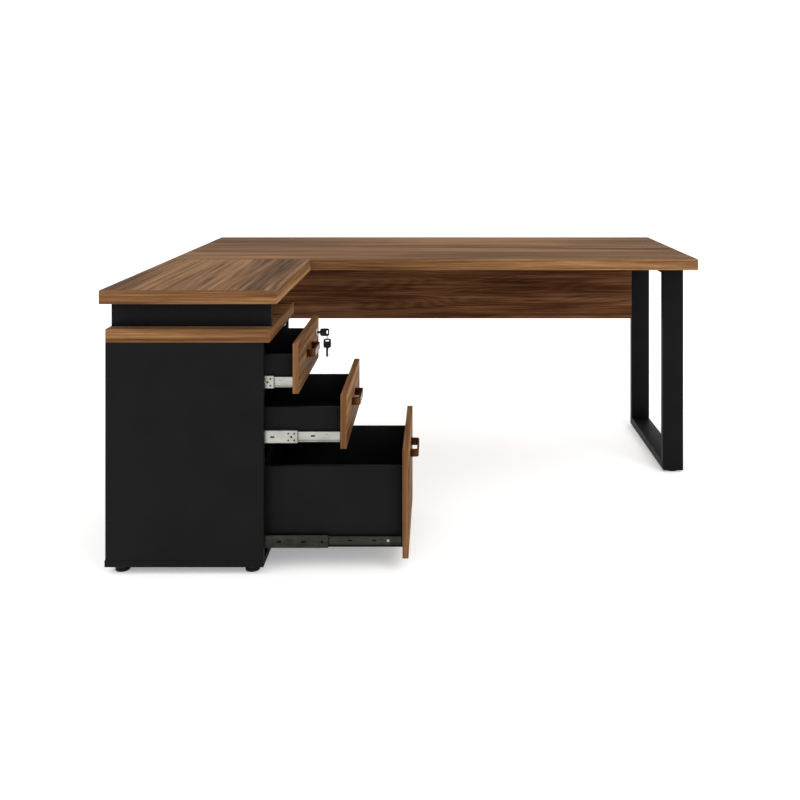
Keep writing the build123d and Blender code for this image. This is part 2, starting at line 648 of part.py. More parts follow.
strike_y = (LOCK_Y - STRIKE_WIDTH / 2, LOCK_Y + STRIKE_WIDTH / 2)
strike = block(
    (STRIKE_X, STRIKE_X + STRIKE_THICKNESS), strike_y, (CARCASS_TOP - STRIKE_DROP, CARCASS_TOP)
)
strike = strike + block(
    (STRIKE_X - STRIKE_FLANGE, STRIKE_X), strike_y, (CARCASS_TOP - STRIKE_THICKNESS, CARCASS_TOP)
)
write("lock_strike", cut(strike, holes_for(strike_screws)))


# ---- Keys: drawn upright in XZ with the blade pointing down from the bow, then turned to place
def key_shape(blade_length):
    """The key's bow and blade, its bow's top edge at the origin and its blade pointing down -Z."""
    bow = RectangleRounded(KEY_BOW_WIDTH, KEY_BOW_LENGTH, KEY_BOW_CORNER)
    bow = Pos(0, -KEY_BOW_LENGTH / 2) * bow
    slot_y = -KEY_SLOT_EDGE - KEY_SLOT_WIDTH / 2 - RING_CLEARANCE
    bow = bow - Pos(0, slot_y) * SlotOverall(KEY_SLOT_LENGTH, KEY_SLOT_WIDTH)
    bow = extrude(Plane.XZ * bow, KEY_BOW_THICKNESS / 2, both=True)
    blade = block(
        (-KEY_BLADE_WIDTH / 2, KEY_BLADE_WIDTH / 2),
        (-KEY_BLADE_THICKNESS / 2, KEY_BLADE_THICKNESS / 2),
        (-KEY_BOW_LENGTH - blade_length, -KEY_BOW_LENGTH),
    )
    return bow, blade


bow_end = KEY_BOW_STANDOFF + KEY_BOW_LENGTH
inserted = Pos(LOCK_FACE + bow_end, LOCK_Y, LOCK_Z) * Rot(0, 90, 0)
write("inserted_key", *[inserted * piece for piece in key_shape(KEY_BLADE_LENGTH)])

# The ring hangs on the rim below the inserted key's slot, and the spare key hangs on the ring.
SLOT_FROM_END = KEY_SLOT_EDGE + KEY_SLOT_WIDTH / 2 + RING_CLEARANCE
RING_X = LOCK_FACE + bow_end - SLOT_FROM_END
RING_TOP = LOCK_Z - KEY_SLOT_LENGTH / 2 + RING_WIRE_RADIUS + RING_CLEARANCE
RING_Z = RING_TOP - RING_MEAN_RADIUS
ring = Rot(0, 90, 0) * Torus(RING_MEAN_RADIUS, RING_WIRE_RADIUS)
write("key_ring", Pos(RING_X, LOCK_Y, RING_Z) * ring)
SLOT_ROOF = SLOT_FROM_END - KEY_SLOT_WIDTH / 2
SPARE_TOP = RING_Z - RING_MEAN_RADIUS + RING_WIRE_RADIUS + RING_CLEARANCE + SLOT_ROOF
spare = Pos(RING_X, LOCK_Y, SPARE_TOP)
write("spare_key", *[spare * piece for piece in key_shape(KEY_BLADE_LENGTH)])


# ---- Leg frames
def frame_corners(inset):
    """The frame's outline in YZ, moved in by an inset."""
    y = (LEG_NEAR + inset, LEG_FAR - inset)
    z = (GLIDE_HEIGHT + inset, UNDERSIDE - inset)
    return [(y[0], z[0]), (y[1], z[0]), (y[1], z[1]), (y[0], z[1])]


def mitred(x_span, outline, inline, index):
    """One side of a frame between two outlines, mitred at both ends."""
    after = (index + 1) % 4
    points = [outline[index], outline[after], inline[after], inline[index]]
    face = Plane.YZ.offset(x_span[0]) * make_face(Polyline(*points, close=True))
    return extrude(face, amount=x_span[1] - x_span[0])


def leg_frame(side):
    """Four mitred rectangular tubes, and the tabs that screw to the worktop."""
    x = LEG_X[side]
    hollow_x = (x[0] + LEG_TUBE_WALL, x[1] - LEG_TUBE_WALL)
    outline, inline = frame_corners(0), frame_corners(LEG_TUBE_THICKNESS)
    bore_out = frame_corners(LEG_TUBE_WALL)
    bore_in = frame_corners(LEG_TUBE_THICKNESS - LEG_TUBE_WALL)
    tubes = [
        mitred(x, outline, inline, index) - mitred(hollow_x, bore_out, bore_in, index)
        for index in range(4)
    ]
    stem_hole = GLIDE_STEM_RADIUS + SCREW_CLEARANCE
    for place in glide_places(side):
        tubes[0] = tubes[0] - rod(place, UP, stem_hole, LEG_TUBE_WALL)
    tab_z = (UNDERSIDE - LEG_TAB_THICKNESS, UNDERSIDE)
    half = LEG_TAB_WIDTH / 2
    tabs = [block(TAB_X[side], (y - half, y + half), tab_z) for y in LEG_TAB_Y]
    return tubes + [cut(tab, holes_for(leg_screws)) for tab in tabs]


def glide_places(side):
    """Where a frame's two glides meet the underside of its lower tube."""
    middle = sum(LEG_X[side]) / 2
    rows = (LEG_NEAR + LEG_TUBE_THICKNESS, LEG_FAR - LEG_TUBE_THICKNESS)
    return [(middle, y, GLIDE_HEIGHT) for y in rows]


glides = []
for side in LEG_X:
    write(f"{side}_leg_frame", *leg_frame(side))
    for x, y, z in glide_places(side):
        stem = rod((x, y, z), UP, GLIDE_STEM_RADIUS, GLIDE_STEM)
        glides.append(rod((x, y, 0), UP, GLIDE_RADIUS, z) + stem)
write("leg_glides", *glides)

# ---- Modesty panel, brackets and joining plates
modesty = block(
    (LEG_X["left"][1], LEG_X["right"][0]),
    (MODESTY_NEAR, MODESTY_FAR),
    (UNDERSIDE - MODESTY_HEIGHT, UNDERSIDE),
)
write("modesty_panel", cut(modesty, holes_for(bracket_panel_screws)))
brackets = []
for x in BRACKET_X:
    width = (x - BRACKET_WIDTH / 2, x + BRACKET_WIDTH / 2)
    upright = block(
        width, (MODESTY_FAR, MODESTY_FAR + BRACKET_THICKNESS), (UNDERSIDE - BRACKET_LEG, UNDERSIDE)
    )
    flat = block(
        width, (MODESTY_FAR, MODESTY_FAR + BRACKET_LEG), (UNDERSIDE - BRACKET_THICKNESS, UNDERSIDE)
    )
    brackets.append(cut(upright + flat, holes_for(bracket_top_screws + bracket_panel_screws)))
write("modesty_brackets", *brackets)
plates = [
    block(
        (x - PLATE_WIDTH / 2, x + PLATE_WIDTH / 2),
        (SEAM - PLATE_LENGTH / 2, SEAM + PLATE_LENGTH / 2),
        (UNDERSIDE - PLATE_THICKNESS, UNDERSIDE),
    )
    for x in PLATE_X
]
write("joining_plates", *[cut(plate, holes_for(plate_screws)) for plate in plates])

structure_fixings = (
    leg_screws
    + bracket_top_screws
    + bracket_panel_screws
    + plate_screws
    + strike_screws
    + outer_runner_screws("near")
    + outer_runner_screws("far")
)
write("structure_screws", *[screw(*fixing) for fixing in structure_fixings])
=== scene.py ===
"""Looks of the corner desk: walnut-grain worktops on a black pedestal and two steel leg frames.

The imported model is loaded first, as a fixed frame in metres. Each sub-assembly is a class that
models its visible pieces round that frame and dresses them, and main() builds them in order.
"""

import contextlib
import logging
import math
from dataclasses import astuple, dataclass
from enum import Enum
from typing import Callable, Iterator, Sequence

import bmesh
import bpy
from mathutils import Matrix, Vector


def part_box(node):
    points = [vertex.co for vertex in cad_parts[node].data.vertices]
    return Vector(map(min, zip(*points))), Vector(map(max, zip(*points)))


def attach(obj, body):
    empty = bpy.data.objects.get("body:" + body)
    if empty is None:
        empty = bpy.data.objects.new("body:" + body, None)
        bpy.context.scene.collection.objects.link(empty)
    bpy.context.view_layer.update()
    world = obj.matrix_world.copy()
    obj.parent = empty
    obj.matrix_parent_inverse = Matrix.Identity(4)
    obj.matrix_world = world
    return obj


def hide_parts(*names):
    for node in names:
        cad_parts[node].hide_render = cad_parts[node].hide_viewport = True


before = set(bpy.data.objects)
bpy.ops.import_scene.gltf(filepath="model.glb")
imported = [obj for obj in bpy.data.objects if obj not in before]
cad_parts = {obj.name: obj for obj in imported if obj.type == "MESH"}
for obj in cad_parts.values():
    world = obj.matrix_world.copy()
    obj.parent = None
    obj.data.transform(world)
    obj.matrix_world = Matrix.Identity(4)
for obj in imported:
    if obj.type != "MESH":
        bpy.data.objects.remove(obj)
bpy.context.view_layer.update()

LOG = logging.getLogger("corner_desk")
MM = 0.001
X, Y, Z = 0, 1, 2
NEAR = 0.01 * MM  # two places closer than this are one place
SQUARE = 0.9  # how much of a direction lies along an axis before it counts as parallel to it
NOISE_SPAN = (0.3, 0.7)  # nearly all of a noise pattern's values lie between these two
Place = tuple[float, float, float]
Test = Callable[[Vector, Vector], bool]


# ---------------------------------------------------------------- bench tools
def clear_selection() -> None:
    """Leaves edit mode and deselects everything, so that an operator meets only its own piece."""
    if bpy.context.object is not None and bpy.context.object.mode != "OBJECT":
        bpy.ops.object.mode_set(mode="OBJECT")
    bpy.ops.object.select_all(action="DESELECT")


def take_up(piece: bpy.types.Object) -> None:
    """Makes one piece the only selected and active one.

    Args:
        piece: The piece to work on next.
    """
    clear_selection()
    piece.select_set(True)
    bpy.context.view_layer.objects.active = piece


def settle(name: str) -> bpy.types.Object:
    """Names the piece in hand and bakes its place into its mesh.

    Args:
        name: The piece's name.

    Returns:
        The piece, its object at the origin.
    """
    piece = bpy.context.object
    piece.name = name
    piece.data.name = name
    bpy.ops.object.transform_apply(location=True, rotation=True, scale=True)
    return piece


def block(name: str, low: Sequence[float], high: Sequence[float]) -> bpy.types.Object:
    """Adds a block between two corners.

    Args:
        name: The piece's name.
        low: Its lowest corner, in metres.
        high: Its highest corner, in metres.

    Returns:
        The new piece.
    """
    clear_selection()
    low_corner, high_corner = Vector(low), Vector(high)
    bpy.ops.mesh.primitive_cube_add(
        size=1, location=(low_corner + high_corner) / 2, scale=high_corner - low_corner
    )
    return settle(name)


def turned_disc(
    name: str, centre: Sequence[float], radius: float, depth: float, axis: int, sides: int = 48
) -> bpy.types.Object:
    """Adds a short cylinder that lies along one axis.

    Args:
        name: The piece's name.
        centre: Its middle, in metres.
        radius: Its radius, in metres.
        depth: Its length along the axis, in metres.
        axis: X, Y or Z.
        sides: How many faces go round it.

    Returns:
        The new piece.
    """
    clear_selection()
    quarter = math.pi / 2
    turn = {X: (0, quarter, 0), Y: (quarter, 0, 0), Z: (0, 0, 0)}[axis]
    bpy.ops.mesh.primitive_cylinder_add(
        vertices=sides, radius=radius, depth=depth, location=Vector(centre), rotation=turn
    )
    return settle(name)


@contextlib.contextmanager
def edit_mode(piece: bpy.types.Object, kind: str = "FACE") -> Iterator[None]:
    """Opens a piece in edit mode with nothing selected, and closes it after the work.

    Args:
        piece: The piece to shape.
        kind: What is selected: VERT, EDGE or FACE.
    """
    take_up(piece)
    bpy.ops.object.mode_set(mode="EDIT")
    bpy.ops.mesh.select_mode(type=kind)
    bpy.ops.mesh.select_all(action="DESELECT")
    yield
    bpy.ops.object.mode_set(mode="OBJECT")


def beside(coordinate: float, *planes: float) -> bool:
    """Says whether a coordinate lies on one of some planes."""
    return min(abs(coordinate - plane) for plane in planes) < NEAR


def runs_along(axis: int) -> Test:
    """Gives the test that passes the edges parallel to an axis."""
    return lambda middle, direction: abs(direction[axis]) > SQUARE


def pick_faces(piece: bpy.types.Object, test: Test) -> None:
    """Selects faces in edit mode.

    Args:
        piece: The piece in edit mode.
        test: Takes a face's middle and normal, and passes the faces to select.
    """
    mesh = bmesh.from_edit_mesh(piece.data)
    mesh.normal_update()
    for face in mesh.faces:
        face.select_set(test(face.calc_center_median(), face.normal))
    bmesh.update_edit_mesh(piece.data)


def pick_edges(piece: bpy.types.Object, test: Test) -> None:
    """Selects edges in edit mode.

    Args:
        piece: The piece in edit mode.
        test: Takes an edge's middle and direction, and passes the edges to select.
    """
    mesh = bmesh.from_edit_mesh(piece.data)
    for edge in mesh.edges:
        start, end = (vertex.co for vertex in edge.verts)
        edge.select_set(test((start + end) / 2, (end - start).normalized()))
    mesh.select_flush_mode()
    bmesh.update_edit_mesh(piece.data)


def round_edges(piece: bpy.types.Object, test: Test, width: float, steps: int) -> None:
    """Rounds the edges that pass a test.

    Args:
        piece: The piece to shape.
        test: Takes an edge's middle and direction, and passes the edges to round.
        width: The rounding's width, in metres.
        steps: Faces across the rounding.
    """
    with edit_mode(piece, "EDGE"):
        pick_edges(piece, test)
        bpy.ops.mesh.bevel(offset=width, segments=steps, affect="EDGES")


def saw_off(piece: bpy.types.Object, point: Sequence[float], waste: Sequence[float]) -> None:
    """Saws a piece across, throws the waste away and closes the cut.

    Args:
        piece: The piece to cut.
        point: A point of the cut, in metres.
        waste: The way that the waste lies from the cut.
    """
    with edit_mode(piece):
        bpy.ops.mesh.select_all(action="SELECT")
        bpy.ops.mesh.bisect(plane_co=point, plane_no=waste, clear_outer=True, use_fill=True)


def open_through(piece: bpy.types.Object, axis: int, wall: float) -> None:
    """Opens a block or a disc right through and leaves a wall all round the opening.

    Args:
        piece: The piece to open.
        axis: The way that the opening goes: X, Y or Z.
        wall: The wall's thickness, in metres.
    """
    with edit_mode(piece):
        pick_faces(piece, lambda centre, normal: abs(normal[axis]) > SQUARE)
        bpy.ops.mesh.inset(thickness=wall)
        bpy.ops.mesh.bridge_edge_loops()


def apply_modifier(piece: bpy.types.Object, kind: str, **settings: object) -> None:
    """Adds a modifier and applies it at once.

    Args:
        piece: The piece to change.
        kind: The modifier's type.
        **settings: The modifier's own settings.
    """
    take_up(piece)
    modifier = piece.modifiers.new(kind.title(), kind)
    for setting, value in settings.items():
        setattr(modifier, setting, value)
    bpy.ops.object.modifier_apply(modifier=modifier.name)


def ease_edges(piece: bpy.types.Object, width: float, steps: int = 2, over: float = 40) -> None:
    """Rounds every edge sharper than an angle, and shades the piece smooth between them.

    Args:
        piece: The piece to finish.
        width: The rounding's width, in metres.
        steps: Faces across the rounding.
        over: The angle in degrees past which an edge counts as sharp.
    """
    apply_modifier(
        piece,
        "BEVEL",
        width=width,
        segments=steps,
        limit_method="ANGLE",
        angle_limit=math.radians(over),
        harden_normals=False,
    )
    shade(piece)


def fold_strip(piece: bpy.types.Object, thickness: float) -> None:
    """Gives an open skin its steel, inwards from the skin, so that its outside stays in place."""
    apply_modifier(piece, "SOLIDIFY", thickness=thickness, offset=-1.0, use_even_offset=True)


def shade(piece: bpy.types.Object, angle: float = 35) -> None:
    """Shades a piece smooth, apart from its edges over an angle in degrees."""
    take_up(piece)
    bpy.ops.object.shade_smooth_by_angle(angle=math.radians(angle))


def slot_punch(
    centre: Place, length: float, width: float, depth: float, sides: int
) -> bpy.types.Object:
    """Adds the punch for a round-ended slot: it lies along X and cuts along Y.

    Args:
        centre: The slot's middle, in metres.
        length: The slot's length along X, in metres.
        width: The slot's width, in metres.
        depth: The punch's length along Y, in metres.
        sides: How many faces go round the slot's two ends together.

    Returns:
        The punch.
    """
    reach = (length - width) / 2
    start = (centre[X] - reach, centre[Y], centre[Z])
    punch = turned_disc("punch", start, width / 2, depth, Y, sides)
    with edit_mode(punch):
        pick_faces(punch, lambda middle, normal: normal.x > 0.05 and abs(normal.y) < 0.5)
        bpy.ops.mesh.extrude_region_move(TRANSFORM_OT_translate={"value": (2 * reach, 0, 0)})
    return punch


def carve(piece: bpy.types.Object, cutters: Sequence[bpy.types.Object]) -> None:
    """Cuts shapes out of a piece.

    Args:
        piece: The piece to cut.
        cutters: The shapes to take out of it, which are thrown away.
    """
    for cutter in cutters:
        apply_modifier(piece, "BOOLEAN", operation="DIFFERENCE", solver="EXACT", object=cutter)
        bpy.data.objects.remove(cutter)


def weld(name: str, parts: Sequence[bpy.types.Object]) -> bpy.types.Object:
    """Joins parts into one piece.

    Args:
        name: The piece's name.
        parts: What it is joined from.

    Returns:
        The joined piece.
    """
    clear_selection()
    for part in parts:
        part.select_set(True)
    bpy.context.view_layer.objects.active = parts[0]
    if len(parts) > 1:
        bpy.ops.object.join()
    parts[0].name = name
    parts[0].data.name = name
    return parts[0]


def copy_of(piece: bpy.types.Object, name: str, move: Sequence[float]) -> bpy.types.Object:
    """Copies a piece with a mesh of its own, moved by a distance.

    Args:
        piece: The piece to copy.
        name: The copy's name.
        move: How far it is moved, in metres.

    Returns:
        The copy, its object at the origin.
    """
    copy = piece.copy()
    copy.data = piece.data.copy()
    copy.name = name
    copy.data.name = name
    bpy.context.scene.collection.objects.link(copy)
    copy.data.transform(Matrix.Translation(Vector(move)))
    return copy


def row_of(
    first: bpy.types.Object, name: str, count: int, pitch: float
) -> list[bpy.types.Object]:
    """Repeats a piece along X.

    Args:
        first: The piece at the row's low end.
        name: What the copies are called, before their numbers.
        count: How many pieces the row has in all.
        pitch: The distance from one piece to the next, in metres.

    Returns:
        The first piece and its copies, in order.
    """
    steps = range(1, count)
    return [first, *(copy_of(first, f"{name}_{step + 1}", (step * pitch, 0, 0)) for step in steps)]


def mirrored(piece: bpy.types.Object, name: str, axis: int, at: float) -> bpy.types.Object:
    """Copies a piece to the other side of a plane and turns its normals outward again.

    Args:
        piece: The piece to copy.
        name: The copy's name.
        axis: The axis that the plane is square to: X, Y or Z.
        at: Where the plane meets that axis, in metres.

    Returns:
        The mirrored copy.
    """
    copy = copy_of(piece, name, (0, 0, 0))
    flip = Matrix.Scale(-1, 4, Vector([float(axis == each) for each in (X, Y, Z)]))
    there = Matrix.Translation(Vector([2 * at if axis == each else 0 for each in (X, Y, Z)]))
    copy.data.transform(there @ flip)
    with edit_mode(copy):
        bpy.ops.mesh.select_all(action="SELECT")
        bpy.ops.mesh.normals_make_consistent(inside=False)
    return copy


# ---------------------------------------------------------------- finishes
def colour(code: str) -> tuple[float, float, float, float]:
    """Turns an sRGB hex colour into the linear values that a shader takes.

    Args:
        code: The colour as #RRGGBB.

    Returns:
        Linear red, green and blue, and full opacity.
    """
    channels = [int(code[place : place + 2], 16) / 255 for place in (1, 3, 5)]
    linear = [c / 12.92 if c <= 0.04045 else ((c + 0.055) / 1.055) ** 2.4 for c in channels]
    return (*linear, 1.0)


def feed(tree: bpy.types.NodeTree, node: bpy.types.Node, inputs: dict[str | int, object]) -> None:
    """Sets a node's own sockets, and links those that another socket feeds.

    Args:
        tree: The material's node tree.
        node: The node to feed.
        inputs: Each input's value, or the socket that feeds it.
    """
    for name, value in inputs.items():
        if isinstance(value, bpy.types.NodeSocket):
            tree.links.new(value, node.inputs[name])
        else:
            node.inputs[name].default_value = value


def add(
    tree: bpy.types.NodeTree,
    kind: str,
    inputs: dict[str | int, object] | None = None,
    stops: Sequence[tuple[float, str]] = (),
    **settings: object,
) -> bpy.types.Node:
    """Adds a node with its settings and links.

    Args:
        tree: The material's node tree.
        kind: The node's type.
        inputs: Each input's value, or the socket that feeds it.
        stops: A colour ramp's positions and hex colours.
        **settings: The node's own settings.

    Returns:
        The new node.
    """
    node = tree.nodes.new(kind)
    for setting, value in settings.items():
        setattr(node, setting, value)
    feed(tree, node, inputs or {})
    for number, (position, code) in enumerate(stops):
        ramp = node.color_ramp.elements
        stop = ramp[number] if number < len(ramp) else ramp.new(position)
        stop.position = position
        stop.color = colour(code)
    return node


def new_material(name: str) -> tuple[bpy.types.Material, bpy.types.NodeTree, bpy.types.Node]:
    """Starts a material.

    Args:
        name: The finish's name.

    Returns:
        The material, its node tree and its shader.
    """
    material = bpy.data.materials.new(name)
    material.use_nodes = True
    tree = material.node_tree
    return material, tree, tree.nodes["Principled BSDF"]


def drawn_out(
    tree: bpy.types.NodeTree,
    place: bpy.types.NodeSocket,
    length_mm: float,
    width_mm: float,
    detail: float,
    fade: float = 0.5,
) -> bpy.types.NodeSocket:
    """Makes marks that are drawn out along X, as grain and brushing are.

    Args:
        tree: The material's node tree.
        place: The coordinates, with the marks' length along X.
        length_mm: The size of a mark along X.
        width_mm: The size of a mark across it.
        detail: How many finer sizes are added.
        fade: How strong each finer size is against the last.

    Returns:
        The pattern's value socket.
    """
    along, across = 1 / (length_mm * MM), 1 / (width_mm * MM)
    marks = add(
        tree, "ShaderNodeMapping", {"Vector": place, "Scale": (along, across, across)}
    ).outputs["Vector"]
    return add(
        tree,
        "ShaderNodeTexNoise",
        {"Vector": marks, "Scale": 1.0, "Detail": detail, "Roughness": fade},
    ).outputs["Fac"]


class Grain(Enum):
    """Which way a board's grain runs, as the turn that lays that axis along the pattern's X."""

    ALONG_X = (0.0, 0.0, 0.0)
    ALONG_Y = (0.0, 0.0, -math.pi / 2)
    ALONG_Z = (0.0, math.pi / 2, 0.0)


@dataclass(frozen=True)
class Walnut:
    """The tones of one printed walnut, from its darkest lines to its lightest."""

    dark: str
    low: str
    middle: str
    high: str
    light: str


BOARD_PRINT = Walnut("#3D2716", "#573B24", "#6D4E32", "#7F5C3D", "#96704A")
EDGE_PRINT = Walnut("#4B311D", "#634429", "#735034", "#835F3E", "#98724C")
# The modesty panel's print: redder and livelier in figure than the boards' print, and darker with
# painted shade from the worktop above it.
SHADED_PRINT = Walnut("#38200F", "#4A2C19", "#583823", "#66442D", "#755238")
BEECH_TURNING = Walnut("#A47B4E", "#B58B5B", "#C39A69", "#CEA877", "#D8B588")


@dataclass(frozen=True)
class WalnutMelamine:
    """Walnut-grain melamine: a printed sheet under satin resin, pressed with a shallow pore."""

    name: str
    grain: Grain
    cut_at: Place = (0.0, 0.0, 0.0)  # where on the printed sheet the board was cut, in metres
    tones: Walnut = BOARD_PRINT
    tone_places: tuple[float, ...] = (0.37, 0.445, 0.50, 0.55, 0.63)
    roughness: float = 0.55
    gloss: float = 0.015
    heart_width_mm: float = 105.0  # broad light and dark zones across the board
    heart_length_mm: float = 1300.0
    streak_width_mm: float = 17.0  # growth layers seen side on
    streak_length_mm: float = 620.0
    streak_share: float = 0.5
    ring_spacing_mm: float = 24.0  # growth lines that close in and open out
    ring_strength: float = 0.022
    ring_slant: float = 0.8  # how far the lines carry on down an edge
    sway_length_mm: float = 900.0
    sway_width_mm: float = 130.0
    sway: float = 0.10
    fibre_width_mm: float = 3.4  # real fibres are under 1 mm: drawn coarser, so that they show
    fibre_length_mm: float = 170.0
    fibre_share: float = 0.28
    pore_width_mm: float = 1.9  # real pores are 0.3 mm: drawn coarser, so that they show
    pore_length_mm: float = 42.0
    pore_values: tuple[float, float] = (0.58, 0.72)  # where in the pattern a pore opens
    pore_stain: float = 0.4
    pore_depth_mm: float = 0.12
    pore_press: float = 0.35

    def material(self) -> bpy.types.Material:
        """Builds the finish: zones, streaks, growth lines, fibres and pores.

        Returns:
            The material.
        """
        material, tree, shader = new_material(self.name)
        place = add(tree, "ShaderNodeTexCoord").outputs["Object"]
        board = add(
            tree,
            "ShaderNodeMapping",
            {"Vector": place, "Rotation": self.grain.value, "Location": self.cut_at},
        ).outputs["Vector"]
        zones = self.marks(tree, board, self.heart_length_mm, self.heart_width_mm, 1.0)
        streaks = self.marks(tree, board, self.streak_length_mm, self.streak_width_mm, 2.0)
        fibres = self.marks(tree, board, self.fibre_length_mm, self.fibre_width_mm, 2.0)
        pores = self.marks(tree, board, self.pore_length_mm, self.pore_width_mm, 1.0)
        broad = add(
            tree,
            "ShaderNodeMix",
            {"Factor": self.streak_share, "A": zones, "B": streaks},
            data_type="FLOAT",
        ).outputs["Result"]
        woven = add(
            tree,
            "ShaderNodeMix",
            {"Factor": self.fibre_share, "A": broad, "B": fibres},
            data_type="FLOAT",
        ).outputs["Result"]
        tone = add(
            tree,
            "ShaderNodeMath",
            {0: self.rings(tree, board), 1: self.ring_strength, 2: woven},
            operation="MULTIPLY_ADD",
        ).outputs[0]
        printed = add(
            tree,
            "ShaderNodeValToRGB",
            {"Fac": tone},
            stops=tuple(zip(self.tone_places, astuple(self.tones))),
        ).outputs["Color"]
        closed, opened = self.pore_values
        pits = add(
            tree,
            "ShaderNodeMapRange",
            {
                "Value": pores,
                "From Min": closed,
                "From Max": opened,
                "To Min": 0.0,
                "To Max": self.pore_stain,
            },
        ).outputs["Result"]
        stained = add(
            tree,
            "ShaderNodeMix",
            {"Factor": pits, "A": printed, "B": colour(self.tones.dark)},
            data_type="RGBA",
        ).outputs["Result"]
        pressed = add(
            tree,
            "ShaderNodeBump",
            {"Strength": self.pore_press, "Distance": self.pore_depth_mm * MM, "Height": pits},
            invert=True,
        ).outputs["Normal"]
        feed(
            tree,
            shader,
            {
                "Base Color": stained,
                "Normal": pressed,
                "Roughness": self.roughness,
                "Specular IOR Level": self.gloss,
            },
        )
        return material

    @staticmethod
    def marks(
        tree: bpy.types.NodeTree,
        board: bpy.types.NodeSocket,
        length_mm: float,
        width_mm: float,
        detail: float,
    ) -> bpy.types.NodeSocket:
        """Marks drawn out along the grain, their finer sizes a little stronger than usual."""
        return drawn_out(tree, board, length_mm, width_mm, detail, 0.55)

    def rings(self, tree: bpy.types.NodeTree, board: bpy.types.NodeSocket) -> bpy.types.NodeSocket:
        """Makes growth lines across the grain, which sway slowly and carry on round the edges.

        Args:
            tree: The material's node tree.
            board: The board's own coordinates, its grain along X.

        Returns:
            The lines' value socket, from -1 to 1.
        """
        sway = self.marks(tree, board, self.sway_length_mm, self.sway_width_mm, 1.0)
        parts = add(tree, "ShaderNodeSeparateXYZ", {"Vector": board})
        depth = add(
            tree,
            "ShaderNodeMath",
            {0: parts.outputs["Z"], 1: self.ring_slant, 2: parts.outputs["Y"]},
            operation="MULTIPLY_ADD",
        ).outputs[0]
        swayed = add(
            tree, "ShaderNodeMath", {0: sway, 1: self.sway, 2: depth}, operation="MULTIPLY_ADD"
        ).outputs[0]
        turns = add(
            tree,
            "ShaderNodeMath",
            {0: swayed, 1: 2 * math.pi / (self.ring_spacing_mm * MM)},
            operation="MULTIPLY",
        ).outputs[0]
        return add(tree, "ShaderNodeMath", {0: turns}, operation="SINE").outputs[0]


@dataclass(frozen=True)
class MattCoat:
    """A matt coat with a fine, even pebble: melamine, powder coat or moulded nylon."""

    name: str
    base: str
    worn: str
    roughness: float
    specular: float
    pebble_mm: float
    pebble_height_mm: float
    pebble_press: float = 0.5
    cloud_mm: float = 110.0  # slow changes of tone, as handling leaves them
    tone_places: tuple[float, float] = (0.38, 0.66)
    gloss_swing: float = 0.06

    def material(self) -> bpy.types.Material:
        """Builds the finish: a pebble, and cloudy changes of tone that keep it from looking flat.

        Returns:
            The material.
        """
        material, tree, shader = new_material(self.name)
        place = add(tree, "ShaderNodeTexCoord").outputs["Object"]
        pebble = add(
            tree,
            "ShaderNodeTexNoise",
            {"Vector": place, "Scale": 1 / (self.pebble_mm * MM), "Detail": 2.0},
        ).outputs["Fac"]
        clouds = add(
            tree,
            "ShaderNodeTexNoise",
            {"Vector": place, "Scale": 1 / (self.cloud_mm * MM), "Detail": 3.0},
        ).outputs["Fac"]
        mixed = add(
            tree, "ShaderNodeMix", {"Factor": 0.5, "A": pebble, "B": clouds}, data_type="FLOAT"
        ).outputs["Result"]
        tone = add(
            tree,
            "ShaderNodeValToRGB",
            {"Fac": mixed},
            stops=tuple(zip(self.tone_places, (self.base, self.worn))),
        ).outputs["Color"]
        gloss = add(
            tree,
            "ShaderNodeMapRange",
            {
                "Value": mixed,
                "From Min": NOISE_SPAN[0],
                "From Max": NOISE_SPAN[1],
                "To Min": self.roughness - self.gloss_swing,
                "To Max": self.roughness + self.gloss_swing,
            },
        ).outputs["Result"]
        bump = add(
            tree,
            "ShaderNodeBump",
            {
                "Strength": self.pebble_press,
                "Distance": self.pebble_height_mm * MM,
                "Height": pebble,
            },
        ).outputs["Normal"]
        feed(
            tree,
            shader,
            {
                "Base Color": tone,
                "Roughness": gloss,
                "Normal": bump,
                "Specular IOR Level": self.specular,
            },
        )
        return material


